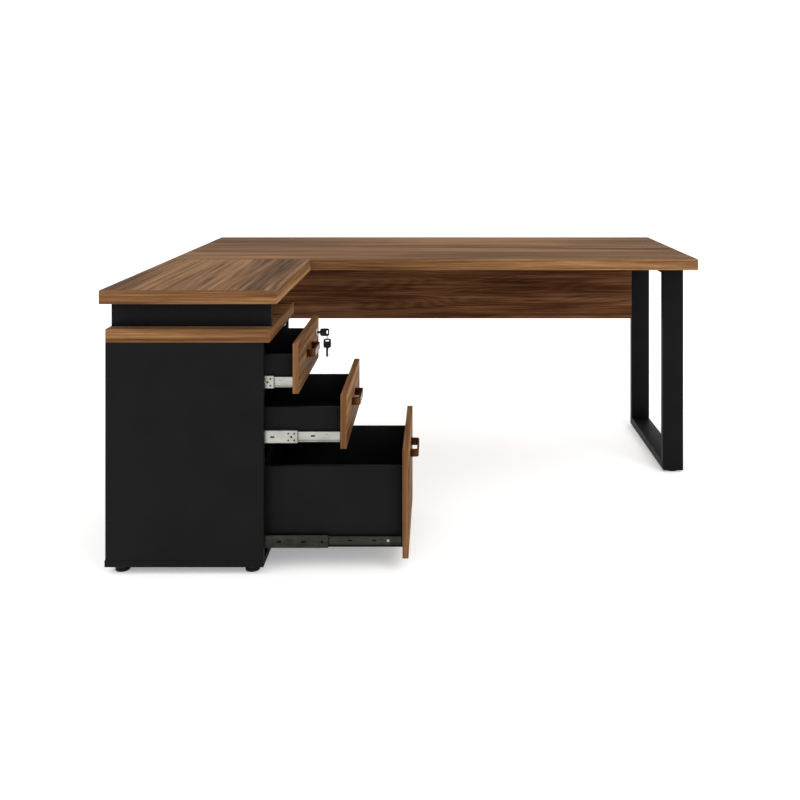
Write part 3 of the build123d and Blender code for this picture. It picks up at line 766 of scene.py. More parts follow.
@dataclass(frozen=True)
class DrawnMetal:
    """Metal with fine lines along one axis, as rolling, drawing or brushing leaves them."""

    name: str
    base: str
    shade: str
    roughness: float
    lines: Grain
    line_width_mm: float = 0.9  # real lines are under 0.1 mm: drawn coarser, so that they show
    line_length_mm: float = 60.0
    line_depth_mm: float = 0.03
    line_press: float = 0.15
    blotch_mm: float = 36.0  # patches where the plate took a little differently
    blotch_share: float = 0.4
    tone_places: tuple[float, float] = (0.35, 0.6)
    gloss_swing: float = 0.08

    def material(self) -> bpy.types.Material:
        """Builds the finish: drawn-out lines in tone and gloss over a soft blotch.

        Returns:
            The material.
        """
        material, tree, shader = new_material(self.name)
        place = add(tree, "ShaderNodeTexCoord").outputs["Object"]
        laid = add(
            tree, "ShaderNodeMapping", {"Vector": place, "Rotation": self.lines.value}
        ).outputs["Vector"]
        lines = drawn_out(tree, laid, self.line_length_mm, self.line_width_mm, 2.0)
        blotch = add(
            tree,
            "ShaderNodeTexNoise",
            {"Vector": place, "Scale": 1 / (self.blotch_mm * MM), "Detail": 2.0},
        ).outputs["Fac"]
        mixed = add(
            tree,
            "ShaderNodeMix",
            {"Factor": self.blotch_share, "A": lines, "B": blotch},
            data_type="FLOAT",
        ).outputs["Result"]
        tone = add(
            tree,
            "ShaderNodeValToRGB",
            {"Fac": mixed},
            stops=tuple(zip(self.tone_places, (self.shade, self.base))),
        ).outputs["Color"]
        gloss = add(
            tree,
            "ShaderNodeMapRange",
            {
                "Value": lines,
                "From Min": NOISE_SPAN[0],
                "From Max": NOISE_SPAN[1],
                "To Min": self.roughness - self.gloss_swing,
                "To Max": self.roughness + self.gloss_swing,
            },
        ).outputs["Result"]
        bump = add(
            tree,
            "ShaderNodeBump",
            {"Strength": self.line_press, "Distance": self.line_depth_mm * MM, "Height": lines},
        ).outputs["Normal"]
        feed(
            tree,
            shader,
            {"Base Color": tone, "Roughness": gloss, "Normal": bump, "Metallic": 1.0},
        )
        return material


class Finishes:
    """Every finish of the desk, made once and shared by the pieces that have it."""

    def __init__(self) -> None:
        """Builds the shared materials."""
        # Melamine-faced board: a satin black print with a very fine pebble.
        self.black_melamine = MattCoat(
            "black_melamine", "#0C0C0D", "#131313", 0.55, 0.08, 1.1, 0.02
        ).material()
        # The same board inside the drawers and the bay, where nothing polishes it.
        self.black_hardboard = MattCoat(
            "black_hardboard", "#0A0A0B", "#101011", 0.65, 0.06, 1.6, 0.03
        ).material()
        # Powder coat on steel tube: baked, matt, slightly orange-peeled.
        self.powder_coat = MattCoat(
            "matt_black_powder_coat", "#0A0A0A", "#111111", 0.52, 0.07, 1.4, 0.05
        ).material()
        # Injection-moulded nylon of the feet, glides and key bows.
        self.nylon = MattCoat(
            "moulded_black_nylon", "#0A0A0B", "#121212", 0.42, 0.25, 0.9, 0.02
        ).material()
        # Bright zinc plate on rolled steel strip.
        self.zinc = DrawnMetal(
            "bright_zinc_plated_steel", "#B4B3AC", "#8E8D87", 0.38, Grain.ALONG_X
        ).material()
        # Dark zinc plate on rolled steel strip.
        self.dark_zinc = DrawnMetal(
            "dark_zinc_plated_steel", "#3D3E38", "#22231F", 0.40, Grain.ALONG_X
        ).material()
        # Copper-toned plate on a cast zinc-alloy pull, brushed along its length.
        self.copper = DrawnMetal(
            "brushed_copper_toned_plate", "#66401F", "#3A220D", 0.30, Grain.ALONG_Y, 0.6, 40.0
        ).material()
        # Polished chrome plate of the lock's rosette and plug.
        self.chrome = DrawnMetal(
            "polished_chrome_plate", "#DCDDDF", "#C4C5C8", 0.14, Grain.ALONG_X, 2.0, 4.0
        ).material()
        # Nickel-plated steel of the key blades and the split ring, dulled by handling.
        self.nickel = DrawnMetal(
            "nickel_plated_key_steel", "#6E6B64", "#45433E", 0.30, Grain.ALONG_X, 0.5, 12.0
        ).material()
        # Turned beech of the hidden dowels.
        self.beech = WalnutMelamine(
            "turned_beech", Grain.ALONG_Z, tones=BEECH_TURNING, roughness=0.6
        ).material()

    @staticmethod
    def walnut(name: str, grain: Grain, cut_at: Place = (0.0, 0.0, 0.0)) -> bpy.types.Material:
        """The walnut print as it lies on a board's faces."""
        return WalnutMelamine(f"walnut_melamine_{name}", grain, cut_at).material()

    @staticmethod
    def edge_band(name: str, grain: Grain, cut_at: Place = (0.0, 0.0, 0.0)) -> bpy.types.Material:
        """Makes the walnut edge band: ABS strip, warmer than the boards and finer in grain.

        Args:
            name: The strip's name.
            grain: Which way it runs.
            cut_at: Where on the print it was cut, in metres.

        Returns:
            The material.
        """
        return WalnutMelamine(
            f"walnut_edge_band_{name}",
            grain,
            cut_at,
            tones=EDGE_PRINT,
            heart_width_mm=34.0,
            streak_width_mm=8.0,
            streak_length_mm=380.0,
            ring_strength=0.008,
            fibre_width_mm=2.4,
        ).material()

    @staticmethod
    def shaded_walnut(name: str, cut_at: Place) -> bpy.types.Material:
        """Makes the modesty panel's print: a redder sheet with a livelier figure, darkened with
        painted shade for its place under the worktop.

        Args:
            name: The panel's name.
            cut_at: Where on the print it was cut, in metres.

        Returns:
            The material.
        """
        return WalnutMelamine(
            f"walnut_melamine_{name}",
            Grain.ALONG_X,
            cut_at,
            tones=SHADED_PRINT,
            heart_width_mm=60.0,
            heart_length_mm=800.0,
            streak_width_mm=9.0,
            streak_length_mm=330.0,
            ring_spacing_mm=13.0,
            ring_strength=0.024,
            sway=0.24,
            sway_width_mm=90.0,
        ).material()


def dress(piece: bpy.types.Object, *materials: bpy.types.Material) -> None:
    """Gives a piece its materials.

    Args:
        piece: The piece to dress.
        *materials: Its materials, the first one all over.
    """
    piece.data.materials.clear()
    for material in materials:
        piece.data.materials.append(material)


def dress_faces(piece: bpy.types.Object, number: int, test: Test) -> None:
    """Gives some of a piece's faces another of its materials.

    Args:
        piece: The piece, already dressed.
        number: Which of its materials the faces take, from 0.
        test: Takes a face's middle and normal, and passes the faces.
    """
    for face in piece.data.polygons:
        if test(face.center, face.normal):
            face.material_index = number


def seat(piece: bpy.types.Object, body: str, slot: str, *nodes: str) -> None:
    """Fixes a finished piece to its body and hides the model's nodes that it stands for.

    Args:
        piece: The finished piece.
        body: The body that it moves with.
        slot: The record's material slot; not used.
        *nodes: The model's nodes that it stands for.
    """
    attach(piece, body)
    if nodes:
        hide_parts(*nodes)
    LOG.info("%s rides on %s and has %d faces", piece.name, body, len(piece.data.polygons))


def keep_node(node: str, material: bpy.types.Material) -> None:
    """Gives a node whose shape is right its finish."""
    dress(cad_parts[node], material)
    LOG.info("%s keeps its shape", node)


# ---------------------------------------------------------------- worktops
@dataclass
class Board:
    """A worktop board with a band round its edges."""

    name: str
    low: Vector
    high: Vector
    body: str
    grain: Grain
    cut_at: Place
    open_far: bool = False
    band: float = 2.0 * MM
    band_round: float = 1.2 * MM
    band_spare: float = 8.0 * MM  # an open band is made this much longer before it is sawn off
    core_ease: float = 0.15 * MM

    def core(self) -> bpy.types.Object:
        """Models the board inside its band.

        Returns:
            The board.
        """
        inset = Vector((self.band, self.band, 0))
        low, high = self.low + inset, self.high - inset
        if self.open_far:
            high.y = self.high.y
        piece = block(self.name, low, high)
        round_edges(
            piece, lambda middle, direction: abs(direction.z) < SQUARE, self.core_ease, 1
        )
        return piece

    def edging(self) -> bpy.types.Object:
        """Models the band: a ring round the board, rounded along its outer edges.

        Returns:
            The band.
        """
        high = self.high.copy()
        if self.open_far:
            high.y += self.band_spare
        ring = block(f"{self.name}_edge_band", self.low, high)
        open_through(ring, Z, self.band)

        def on_rim(middle: Vector, direction: Vector) -> bool:
            """Passes the ring's outer corners and the edges that go round outside."""
            on_x = beside(middle.x, self.low.x, high.x)
            on_y = beside(middle.y, self.low.y, high.y)
            return (on_x and on_y) if abs(direction.z) > SQUARE else (on_x or on_y)

        round_edges(ring, on_rim, self.band_round, 3)
        if self.open_far:
            saw_off(ring, (0, self.high.y, 0), (0, 1, 0))
        shade(ring)
        return ring

    def make(self, node: str) -> bpy.types.Object:
        """Models and dresses the board and its band.

        Args:
            node: The model's node for the board itself.

        Returns:
            The band, which its caller seats.
        """
        core = self.core()
        dress(core, Finishes.walnut(self.name, self.grain, self.cut_at))
        seat(core, self.body, "walnut_laminate", node)
        ring = self.edging()
        dress(
            ring,
            Finishes.edge_band(f"{self.name}_x", Grain.ALONG_X, self.cut_at),
            Finishes.edge_band(f"{self.name}_y", Grain.ALONG_Y, self.cut_at),
        )
        near, far = self.low.y + self.band, self.high.y - self.band
        dress_faces(
            ring, 1, lambda centre, normal: abs(normal.x) > 0.5 or (near < centre.y < far)
        )
        return ring


@dataclass
class Worktops:
    """The main top and the return top that butts against it."""

    body: str = "frame"

    def build(self) -> None:
        """Models both tops with their bands."""
        low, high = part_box("worktop_edging")
        return_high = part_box("return_top")[1]
        seam = return_high.y
        main_band = Board(
            "main_top_board",
            Vector((low.x, seam, low.z)),
            high,
            self.body,
            Grain.ALONG_X,
            (0.35, 0.11, 0.0),
        ).make("main_top")
        return_band = Board(
            "return_top_board",
            low,
            Vector((return_high.x + Board.band, seam, high.z)),
            self.body,
            Grain.ALONG_Y,
            (0.35, 0.5, 0.0),
            open_far=True,
        ).make("return_top")
        seat(main_band, self.body, "walnut_edge_band", "worktop_edging")
        seat(return_band, self.body, "walnut_edge_band")
        LOG.info("worktops from %.3f to %.3f m", low.x, high.x)


# ---------------------------------------------------------------- pedestal
@dataclass
class Pedestal:
    """The carcass under the return: top board, risers, sides, back, base and feet."""

    finishes: Finishes
    body: str = "frame"
    board_round: float = 0.8 * MM
    foot_waist: float = 0.78  # the housing's width over the pad's
    foot_pad: float = 6.0 * MM
    foot_ease: float = 1.0 * MM
    stud_radius: float = 4.0 * MM
    stud_ease: float = 0.6 * MM

    def board(self, node: str) -> None:
        """Models one black board with eased edges.

        Args:
            node: The model's node for the board.
        """
        piece = block(f"{node}_board", *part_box(node))
        ease_edges(piece, self.board_round)
        dress(piece, self.finishes.black_melamine)
        seat(piece, self.body, "black_laminate", node)

    def foot(self, node: str) -> None:
        """Models one levelling foot: a wide pad, a waisted housing and its stud.

        Args:
            node: The model's node for the foot, which is its body too.
        """
        low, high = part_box(node)
        x, y, _ = (low + high) / 2
        radius = (high.x - low.x) / 2
        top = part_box("pedestal_base")[0].z
        height = top - low.z
        pad = turned_disc(f"{node}_pad", (x, y, low.z + height / 2), radius, height, Z, 64)
        with edit_mode(pad):
            pick_faces(pad, lambda middle, normal: normal.z > SQUARE)
            bpy.ops.transform.translate(value=(0, 0, self.foot_pad - height))
            bpy.ops.mesh.inset(thickness=radius * (1 - self.foot_waist))
            bpy.ops.mesh.extrude_region_move(
                TRANSFORM_OT_translate={"value": (0, 0, height - self.foot_pad)}
            )
        ease_edges(pad, self.foot_ease, 3)
        stud = turned_disc(
            f"{node}_stud", (x, y, (top + high.z) / 2), self.stud_radius, high.z - top, Z, 24
        )
        ease_edges(stud, self.stud_ease)
        dress(pad, self.finishes.nylon)
        dress(stud, self.finishes.zinc)
        seat(pad, node, "black_nylon", node)
        seat(stud, node, "zinc_steel")

    def build(self) -> None:
        """Models the whole carcass."""
        low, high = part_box("pedestal_top_edging")
        band = Board(
            "pedestal_top_board", low, high, self.body, Grain.ALONG_X, (1.35, 0.32, 0.0)
        ).make("pedestal_top")
        seat(band, self.body, "walnut_edge_band", "pedestal_top_edging")
        for node in (
            "riser_near",
            "riser_far",
            "pedestal_side_near",
            "pedestal_side_far",
            "pedestal_back",
            "pedestal_base",
        ):
            self.board(node)
        for side in ("left", "right"):
            for row in ("near", "far"):
                self.foot(f"foot_{side}_{row}")
        keep_node("foot_sockets", self.finishes.zinc)
        keep_node("carcass_dowels", self.finishes.beech)


# ---------------------------------------------------------------- drawers
class Storey(Enum):
    """The three drawers, from the top down."""

    TOP = "top"
    MIDDLE = "middle"
    BOTTOM = "bottom"


@dataclass
class Drawer:
    """One drawer: walnut front, black box and bow handle."""

    storey: Storey
    finishes: Finishes
    side_thickness: float = 12.0 * MM
    front_round: float = 0.9 * MM
    side_round: float = 0.6 * MM
    panel_round: float = 0.5 * MM
    lock_bore: float = 9.7 * MM
    handle_leg: float = 10.0 * MM
    handle_grip: float = 5.0 * MM
    handle_outer: float = 9.0 * MM
    handle_inner: float = 5.0 * MM
    handle_ease: float = 0.8 * MM
    cut_past: float = 5.0 * MM  # how far a cutter reaches past what it cuts

    @property
    def name(self) -> str:
        """The storey's plain name."""
        return self.storey.value

    @property
    def body(self) -> str:
        """The body that the drawer moves with."""
        return f"{self.name}_drawer"

    def front(self) -> None:
        """Models the front: grain across, banded edges with the grain along each."""
        node = f"{self.name}_drawer_front"
        low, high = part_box(node)
        piece = block(f"{self.name}_front_board", low, high)
        if self.storey is Storey.TOP:
            lock_low, lock_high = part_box("lock_housing")
            through = 2 * (lock_high.x - lock_low.x)
            bore = turned_disc("bore", (lock_low + lock_high) / 2, self.lock_bore, through, X)
            carve(piece, [bore])
        ease_edges(piece, self.front_round, 3)
        number = list(Storey).index(self.storey)
        cut_at = (0.55 * number, 0.17 + 0.21 * number, 0.4)  # each front from another place
        dress(
            piece,
            Finishes.walnut(f"{self.name}_front", Grain.ALONG_Y, cut_at),
            Finishes.edge_band(f"{self.name}_front_y", Grain.ALONG_Y, cut_at),
            Finishes.edge_band(f"{self.name}_front_z", Grain.ALONG_Z, cut_at),
        )
        dress_faces(piece, 1, lambda centre, normal: abs(normal.z) > 0.5)
        dress_faces(piece, 2, lambda centre, normal: abs(normal.y) > 0.5)
        seat(piece, self.body, "walnut_laminate", node)

    def box(self) -> None:
        """Models the box: two sides, a back and a bottom panel between them."""
        sides = f"{self.name}_drawer_sides"
        low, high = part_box(sides)
        near = block(
            f"{self.name}_side_near", low, (high.x, low.y + self.side_thickness, high.z)
        )
        ease_edges(near, self.side_round)
        across = high.y - low.y - self.side_thickness
        far = copy_of(near, f"{self.name}_side_far", (0, across, 0))
        for piece, nodes in ((near, [sides]), (far, [])):
            dress(piece, self.finishes.black_melamine)
            seat(piece, self.body, "black_laminate", *nodes)
        for part in ("back", "bottom"):
            node = f"{self.name}_drawer_{part}"
            panel = block(f"{self.name}_{part}_panel", *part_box(node))
            ease_edges(panel, self.panel_round)
            dress(panel, self.finishes.black_hardboard)
            seat(panel, self.body, "black_laminate", node)

    def handle(self) -> None:
        """Models the bow handle: one flat strip with round shoulders."""
        node = f"{self.name}_handle"
        low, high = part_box(node)
        grip_back = high.x - self.handle_grip
        bow = block(f"{self.name}_bow_handle", low, high)
        gap = block(
            "gap",
            (low.x - self.cut_past, low.y + self.handle_leg, low.z - self.cut_past),
            (grip_back, high.y - self.handle_leg, high.z + self.cut_past),
        )
        carve(bow, [gap])
        for depth, radius in ((high.x, self.handle_outer), (grip_back, self.handle_inner)):

            def at_bend(middle: Vector, direction: Vector) -> bool:
                """Passes the upright edges at this depth."""
                return abs(direction.z) > SQUARE and beside(middle.x, depth)

            round_edges(bow, at_bend, radius, 8)
        ease_edges(bow, self.handle_ease, 3)
        dress(bow, self.finishes.copper)
        seat(bow, self.body, "copper_toned_zamak", node)

    def build(self) -> None:
        """Models the whole drawer."""
        self.front()
        self.box()
        self.handle()
        keep_node(f"{self.name}_drawer_screws", self.finishes.zinc)


@dataclass(frozen=True)
class Section:
    """A runner member's cross-section, measured across the bay from the side board's face."""

    web: float
    lip: float
    half_height: float


class Member(Enum):
    """A runner's three nested members."""

    OUTER = Section(0.0, 10.0 * MM, 22.5 * MM)
    MIDDLE = Section(3.2 * MM, 10.6 * MM, 17.0 * MM)
    INNER = Section(13.0 * MM, 5.0 * MM, 13.25 * MM)


@dataclass
class RunnerPair:
    """The two ball-bearing runners of one drawer: outer, middle and inner members."""

    storey: Storey
    finishes: Finishes
    wall: float = 1.2 * MM
    lip_round: float = 2.2 * MM
    punch_depth: float = 24.0 * MM
    hole_pitch: float = 64.0 * MM
    hole_radius: float = 2.3 * MM
    slot_length: float = 12.0 * MM
    rivet_radius: float = 2.4 * MM
    rivet_height: float = 0.8 * MM
    rivet_ease: float = 0.35 * MM
    rivet_offset: float = 9.0 * MM
    rivet_insets: tuple[float, float] = (8.0 * MM, 24.0 * MM)
    stop_inset: float = 16.0 * MM
    stop_radius: float = 3.0 * MM
    cage_length: float = 180.0 * MM
    cage_thickness: float = 1.0 * MM
    cage_ease: float = 0.2 * MM
    cage_band: tuple[float, float] = (4.5 * MM, 9.0 * MM)
    outer_race: tuple[float, float] = (17.0 * MM, 20.9 * MM)
    inner_race: tuple[float, float] = (13.65 * MM, 15.8 * MM)
    ball_radius: float = 1.7 * MM
    ball_pitch: float = 9.0 * MM

    @property
    def steel(self) -> bpy.types.Material:
        """The runners' plate: dark on the bottom drawer and bright on the others."""
        dark = self.storey is Storey.BOTTOM
        return self.finishes.dark_zinc if dark else self.finishes.zinc

    @property
    def slot(self) -> str:
        """The record's slot for the same plate."""
        return "dark_zinc_steel" if self.storey is Storey.BOTTOM else "zinc_steel"

    @staticmethod
    def row(inward: int) -> str:
        """Which side of the pedestal a runner is on, from the way its bay lies."""
        return "near" if inward > 0 else "far"

    def channel(self, name: str, member: Member, side: float, inward: int) -> bpy.types.Object:
        """Models one C-shaped member: a strip with rolled corners and punched slots.

        Args:
            name: The member's node, whose length and height it takes.
            member: Which member it is.
            side: Y of the side board's face.
            inward: 1 if the bay lies towards +Y of that face, -1 if it lies towards -Y.

        Returns:
            The member.
        """
        low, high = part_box(name)
        section = member.value
        middle_z = (low.z + high.z) / 2
        web_y = side + inward * section.web
        near, far = sorted((web_y, side + inward * section.lip))
        middle_y = (near + far) / 2
        outward = 1 if web_y > middle_y else -1
        rail = block(
            f"{name}_{self.row(inward)}",
            (low.x, near, middle_z - section.half_height),
            (high.x, far, middle_z + section.half_height),
        )
        with edit_mode(rail):
            pick_faces(
                rail,
                lambda centre, normal: normal.y * outward < -SQUARE or abs(normal.x) > SQUARE,
            )
            bpy.ops.mesh.delete(type="FACE")

        def on_web(middle: Vector, direction: Vector) -> bool:
            """Passes the long edges where the web turns into the lips."""
            return abs(direction.x) > SQUARE and beside(middle.y, web_y)

        round_edges(rail, on_web, self.lip_round, 4)
        fold_strip(rail, self.wall)
        punches = [self.slots(low.x, high.x, middle_y, middle_z)]
        if member is Member.MIDDLE:
            stop = (high.x - self.stop_inset, middle_y, middle_z)
            punches.append(
                turned_disc("stop_punch", stop, self.stop_radius, self.punch_depth, Y, 24)
            )
        carve(rail, punches)
        shade(rail)
        return rail

    def slots(self, start: float, end: float, y: float, z: float) -> bpy.types.Object:
        """Models the punches for a web's row of slots, as one cutter.

        Args:
            start: The web's lowest X.
            end: The web's highest X.
            y: The middle of the member's depth.
            z: The web's middle height.

        Returns:
            The punches, joined.
        """
        count = int((end - start - 2 * self.hole_pitch) // self.hole_pitch) + 1
        first = (start + end) / 2 - self.hole_pitch * (count - 1) / 2
        punch = slot_punch(
            (first, y, z), self.slot_length, 2 * self.hole_radius, self.punch_depth, 20
        )
        return weld("punches", row_of(punch, "punch", count, self.hole_pitch))

    def rivets(self, name: str, side: float, inward: int) -> bpy.types.Object:
        """Models the four rivet heads that hold the stop and the cage to the middle web.

        Args:
            name: The middle member's node.
            side: Y of the side board's face.
            inward: 1 if the bay lies towards +Y of that face, -1 if it lies towards -Y.

        Returns:
            The heads, joined.
        """
        low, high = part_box(name)
        middle_z = (low.z + high.z) / 2
        web_y = side + inward * Member.MIDDLE.value.web
        heads = []
        for back in self.rivet_insets:
            for up in (-self.rivet_offset, self.rivet_offset):
                centre = (high.x - back, web_y - inward * self.rivet_height / 2, middle_z + up)
                head = turned_disc("head", centre, self.rivet_radius, self.rivet_height, Y, 24)
                ease_edges(head, self.rivet_ease, 3)
                heads.append(head)
        return weld(f"{name}_rivets_{self.row(inward)}", heads)

    def cages(self, name: str, side: float, inward: int) -> bpy.types.Object:
        """Models the ball cages above and below the middle member, each with its row of balls.

        Args:
            name: The middle member's node.
            side: Y of the side board's face.
            inward: 1 if the bay lies towards +Y of that face, -1 if it lies towards -Y.

        Returns:
            The four cages and their balls, joined.
        """
        low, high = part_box(name)
        middle_z = (low.z + high.z) / 2
        band = sorted(side + inward * edge for edge in self.cage_band)
        parts = []
        for start, race in (
            (low.x, self.outer_race),
            (high.x - self.cage_length, self.inner_race),
        ):
            radius = min(self.ball_radius, (race[1] - race[0]) / 2)
            for way in (-1, 1):
                z = middle_z + way * sum(race) / 2
                strip = block(
                    "cage",
                    (start, band[0], z - self.cage_thickness / 2),
                    (start + self.cage_length, band[1], z + self.cage_thickness / 2),
                )
                ease_edges(strip, self.cage_ease, 1)
                parts += [strip, *self.balls((start, sum(band) / 2, z), radius)]
        return weld(f"{name}_cages_{self.row(inward)}", parts)

    def balls(self, start: Place, radius: float) -> list[bpy.types.Object]:
        """Models one row of balls along a cage.

        Args:
            start: The middle of the cage's low end, in metres.
            radius: A ball's radius, in metres.

        Returns:
            The balls.
        """
        clear_selection()
        x, y, z = start
        bpy.ops.mesh.primitive_uv_sphere_add(
            segments=12, ring_count=8, radius=radius, location=(x + self.ball_pitch, y, z)
        )
        ball = settle("ball")
        shade(ball, 60)
        return row_of(ball, "ball", int(self.cage_length / self.ball_pitch) - 1, self.ball_pitch)

    def build(self) -> None:
        """Models the three members of both runners."""
        name = self.storey.value
        bodies = {
            Member.OUTER: "frame",
            Member.MIDDLE: f"{name}_runner",
            Member.INNER: f"{name}_drawer",
        }
        low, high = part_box(f"{name}_runner_outer")
        for member, body in bodies.items():
            node = f"{name}_runner_{member.name.lower()}"
            for side, inward in ((low.y, 1), (high.y, -1)):
                rail = self.channel(node, member, side, inward)
                dress(rail, self.steel)
                seat(rail, body, self.slot, node)
                if member is Member.MIDDLE:
                    rivets = self.rivets(node, side, inward)
                    dress(rivets, self.finishes.dark_zinc)
                    seat(rivets, body, "dark_zinc_steel")
                    cages = self.cages(node, side, inward)
                    dress(cages, self.finishes.zinc)
                    seat(cages, body, "zinc_steel")


# ---------------------------------------------------------------- lock and keys
@dataclass
class Key:
    """A key: a moulded bow with a raised rim and a slot, and a bitted blade."""

    node: str
    body: str
    finishes: Finishes
    bow_length: float = 28.0 * MM
    bow_width: float = 23.0 * MM
    bow_thickness: float = 3.0 * MM
    bow_corner: float = 6.0 * MM
    bow_ease: float = 0.25 * MM
    rim_width: float = 1.6 * MM
    rim_step: float = 0.4 * MM
    slot_length: float = 11.0 * MM
    slot_width: float = 4.2 * MM
    slot_edge: float = 4.3 * MM
    blade_length: float = 27.0 * MM
    blade_width: float = 7.5 * MM
    blade_thickness: float = 2.0 * MM
    blade_ease: float = 0.12 * MM
    tip_bevel: float = 2.2 * MM
    groove_edges: tuple[float, float] = (-0.9 * MM, 0.3 * MM)
    groove_depth: float = 0.6 * MM
    groove_past: float = 1.0 * MM
    bit_depths: tuple[float, ...] = (1.1 * MM, 2.0 * MM, 1.4 * MM, 2.3 * MM, 0.9 * MM)
    bit_pitch: float = 4.0 * MM
    first_bit: float = 5.0 * MM

    def bow(self) -> bpy.types.Object:
        """Models the bow at the origin: its top edge there, and the blade's side towards -Z.

        Returns:
            The bow.
        """
        half_width, half_thickness = self.bow_width / 2, self.bow_thickness / 2
        bow = block(
            f"{self.node}_bow",
            (-half_width, -half_thickness, -self.bow_length),
            (half_width, half_thickness, 0),
        )
        round_edges(bow, runs_along(Y), self.bow_corner, 6)
        with edit_mode(bow):
            pick_faces(bow, lambda centre, normal: abs(normal.y) > SQUARE)
            bpy.ops.mesh.inset(thickness=self.rim_width)
            bpy.ops.mesh.inset(thickness=self.rim_step, depth=-self.rim_step)
        middle_z = -self.slot_edge - self.slot_width / 2
        punch = slot_punch(
            (0, 0, middle_z), self.slot_length, self.slot_width, 3 * self.bow_thickness, 24
        )
        carve(bow, [punch])
        ease_edges(bow, self.bow_ease, 2)
        dress(bow, self.finishes.nylon)
        return bow

    def blade(self) -> bpy.types.Object:
        """Models the blade below the bow: a milled groove, a bevelled tip and its bitting.

        Returns:
            The blade.
        """
        half = self.blade_width / 2
        tip = -self.bow_length - self.blade_length
        face = -self.blade_thickness / 2
        blade = block(f"{self.node}_blade", (-half, face, tip), (half, -face, -self.bow_length))

        def at_tip(middle: Vector, direction: Vector) -> bool:
            """Passes the two corners of the tip."""
            return abs(direction.y) > SQUARE and beside(middle.z, tip)

        round_edges(blade, at_tip, self.tip_bevel, 1)
        cutters = []
        for number, depth in enumerate(self.bit_depths):
            clear_selection()
            bpy.ops.mesh.primitive_cylinder_add(
                vertices=4,
                radius=2 * depth,
                depth=3 * self.blade_thickness,
                location=(half + depth, 0, tip + self.first_bit + number * self.bit_pitch),
                rotation=(math.pi / 2, 0, 0),
            )
            cutters.append(settle("file"))
        groove = block(
            "groove",
            (self.groove_edges[0], 2 * face, tip - self.groove_past),
            (self.groove_edges[1], face + self.groove_depth, self.groove_past - self.bow_length),
        )
        carve(blade, [*cutters, groove])
        ease_edges(blade, self.blade_ease, 1)
        dress(blade, self.finishes.nickel)
        return blade

    def build(self) -> None:
        """Models the key and turns it to its place: into the lock, or hanging from the ring."""
        low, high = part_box(self.node)
        middle = (low + high) / 2
        inserted = high.x - low.x > high.z - low.z
        turn = Matrix.Rotation(math.pi / 2, 4, "Y") if inserted else Matrix.Identity(4)
        top = Vector((high.x, middle.y, middle.z) if inserted else (middle.x, middle.y, high.z))
        for piece, slot in ((self.bow(), "black_key_plastic"), (self.blade(), "nickel_key_steel")):
            piece.data.transform(Matrix.Translation(top) @ turn)
            seat(piece, self.body, slot, self.node)


@dataclass
class LockSet:
    """The cam lock of the top drawer, the key in it, the ring and the spare key."""

    finishes: Finishes
    rosette: float = 2.4 * MM
    rosette_ease: float = 0.3 * MM
    barrel_radius: float = 9.5 * MM
    bore_radius: float = 6.06 * MM
    rim: float = 1.3 * MM
    dish: float = 0.6 * MM
    wire: float = 0.35 * MM

    def housing(self) -> None:
        """Models the housing: a dished rosette on a barrel, with the plug's bore through it."""
        low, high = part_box("lock_housing")
        _, y, z = (low + high) / 2
        face = high.x - self.rosette
        parts = []
        for name, start, end, radius in (
            ("lock_barrel", low.x, face, self.barrel_radius),
            ("lock_rosette", face, high.x, (high.z - low.z) / 2),
        ):
            part = turned_disc(name, ((start + end) / 2, y, z), radius, end - start, X, 64)
            open_through(part, X, radius - self.bore_radius)
            parts.append(part)
        barrel, rosette = parts
        with edit_mode(rosette):
            pick_faces(rosette, lambda middle, normal: normal.x > SQUARE)
            bpy.ops.mesh.inset(thickness=self.rim)
            bpy.ops.mesh.inset(thickness=self.dish / 2, depth=-self.dish)
        ease_edges(rosette, self.rosette_ease, 2)
        shade(barrel)
        for part in parts:
            dress(part, self.finishes.chrome)
            seat(part, "top_drawer", "polished_chrome", "lock_housing")

    def ring(self) -> None:
        """Models the split ring: two turns of wire side by side."""
        low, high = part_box("key_ring")
        centre = (low + high) / 2
        turns = []
        for side in (-1, 1):
            clear_selection()
            bpy.ops.mesh.primitive_torus_add(
                major_segments=64,
                minor_segments=10,
                major_radius=(high.z - low.z) / 2 - self.wire,
                minor_radius=self.wire,
                location=centre + Vector((side * self.wire, 0, 0)),
                rotation=(0, math.pi / 2, 0),
            )
            turn = settle("turn")
            shade(turn, 60)
            turns.append(turn)
        ring = weld("split_ring", turns)
        dress(ring, self.finishes.nickel)
        seat(ring, "ring", "nickel_key_steel", "key_ring")

    def build(self) -> None:
        """Models the lock and its keys."""
        self.housing()
        keep_node("lock_cylinder", self.finishes.chrome)
        for node in ("lock_nut", "lock_cam", "lock_strike"):
            keep_node(node, self.finishes.zinc)
        for node, body in (("inserted_key", "key"), ("spare_key", "spare")):
            Key(node, body, self.finishes).build()
        self.ring()


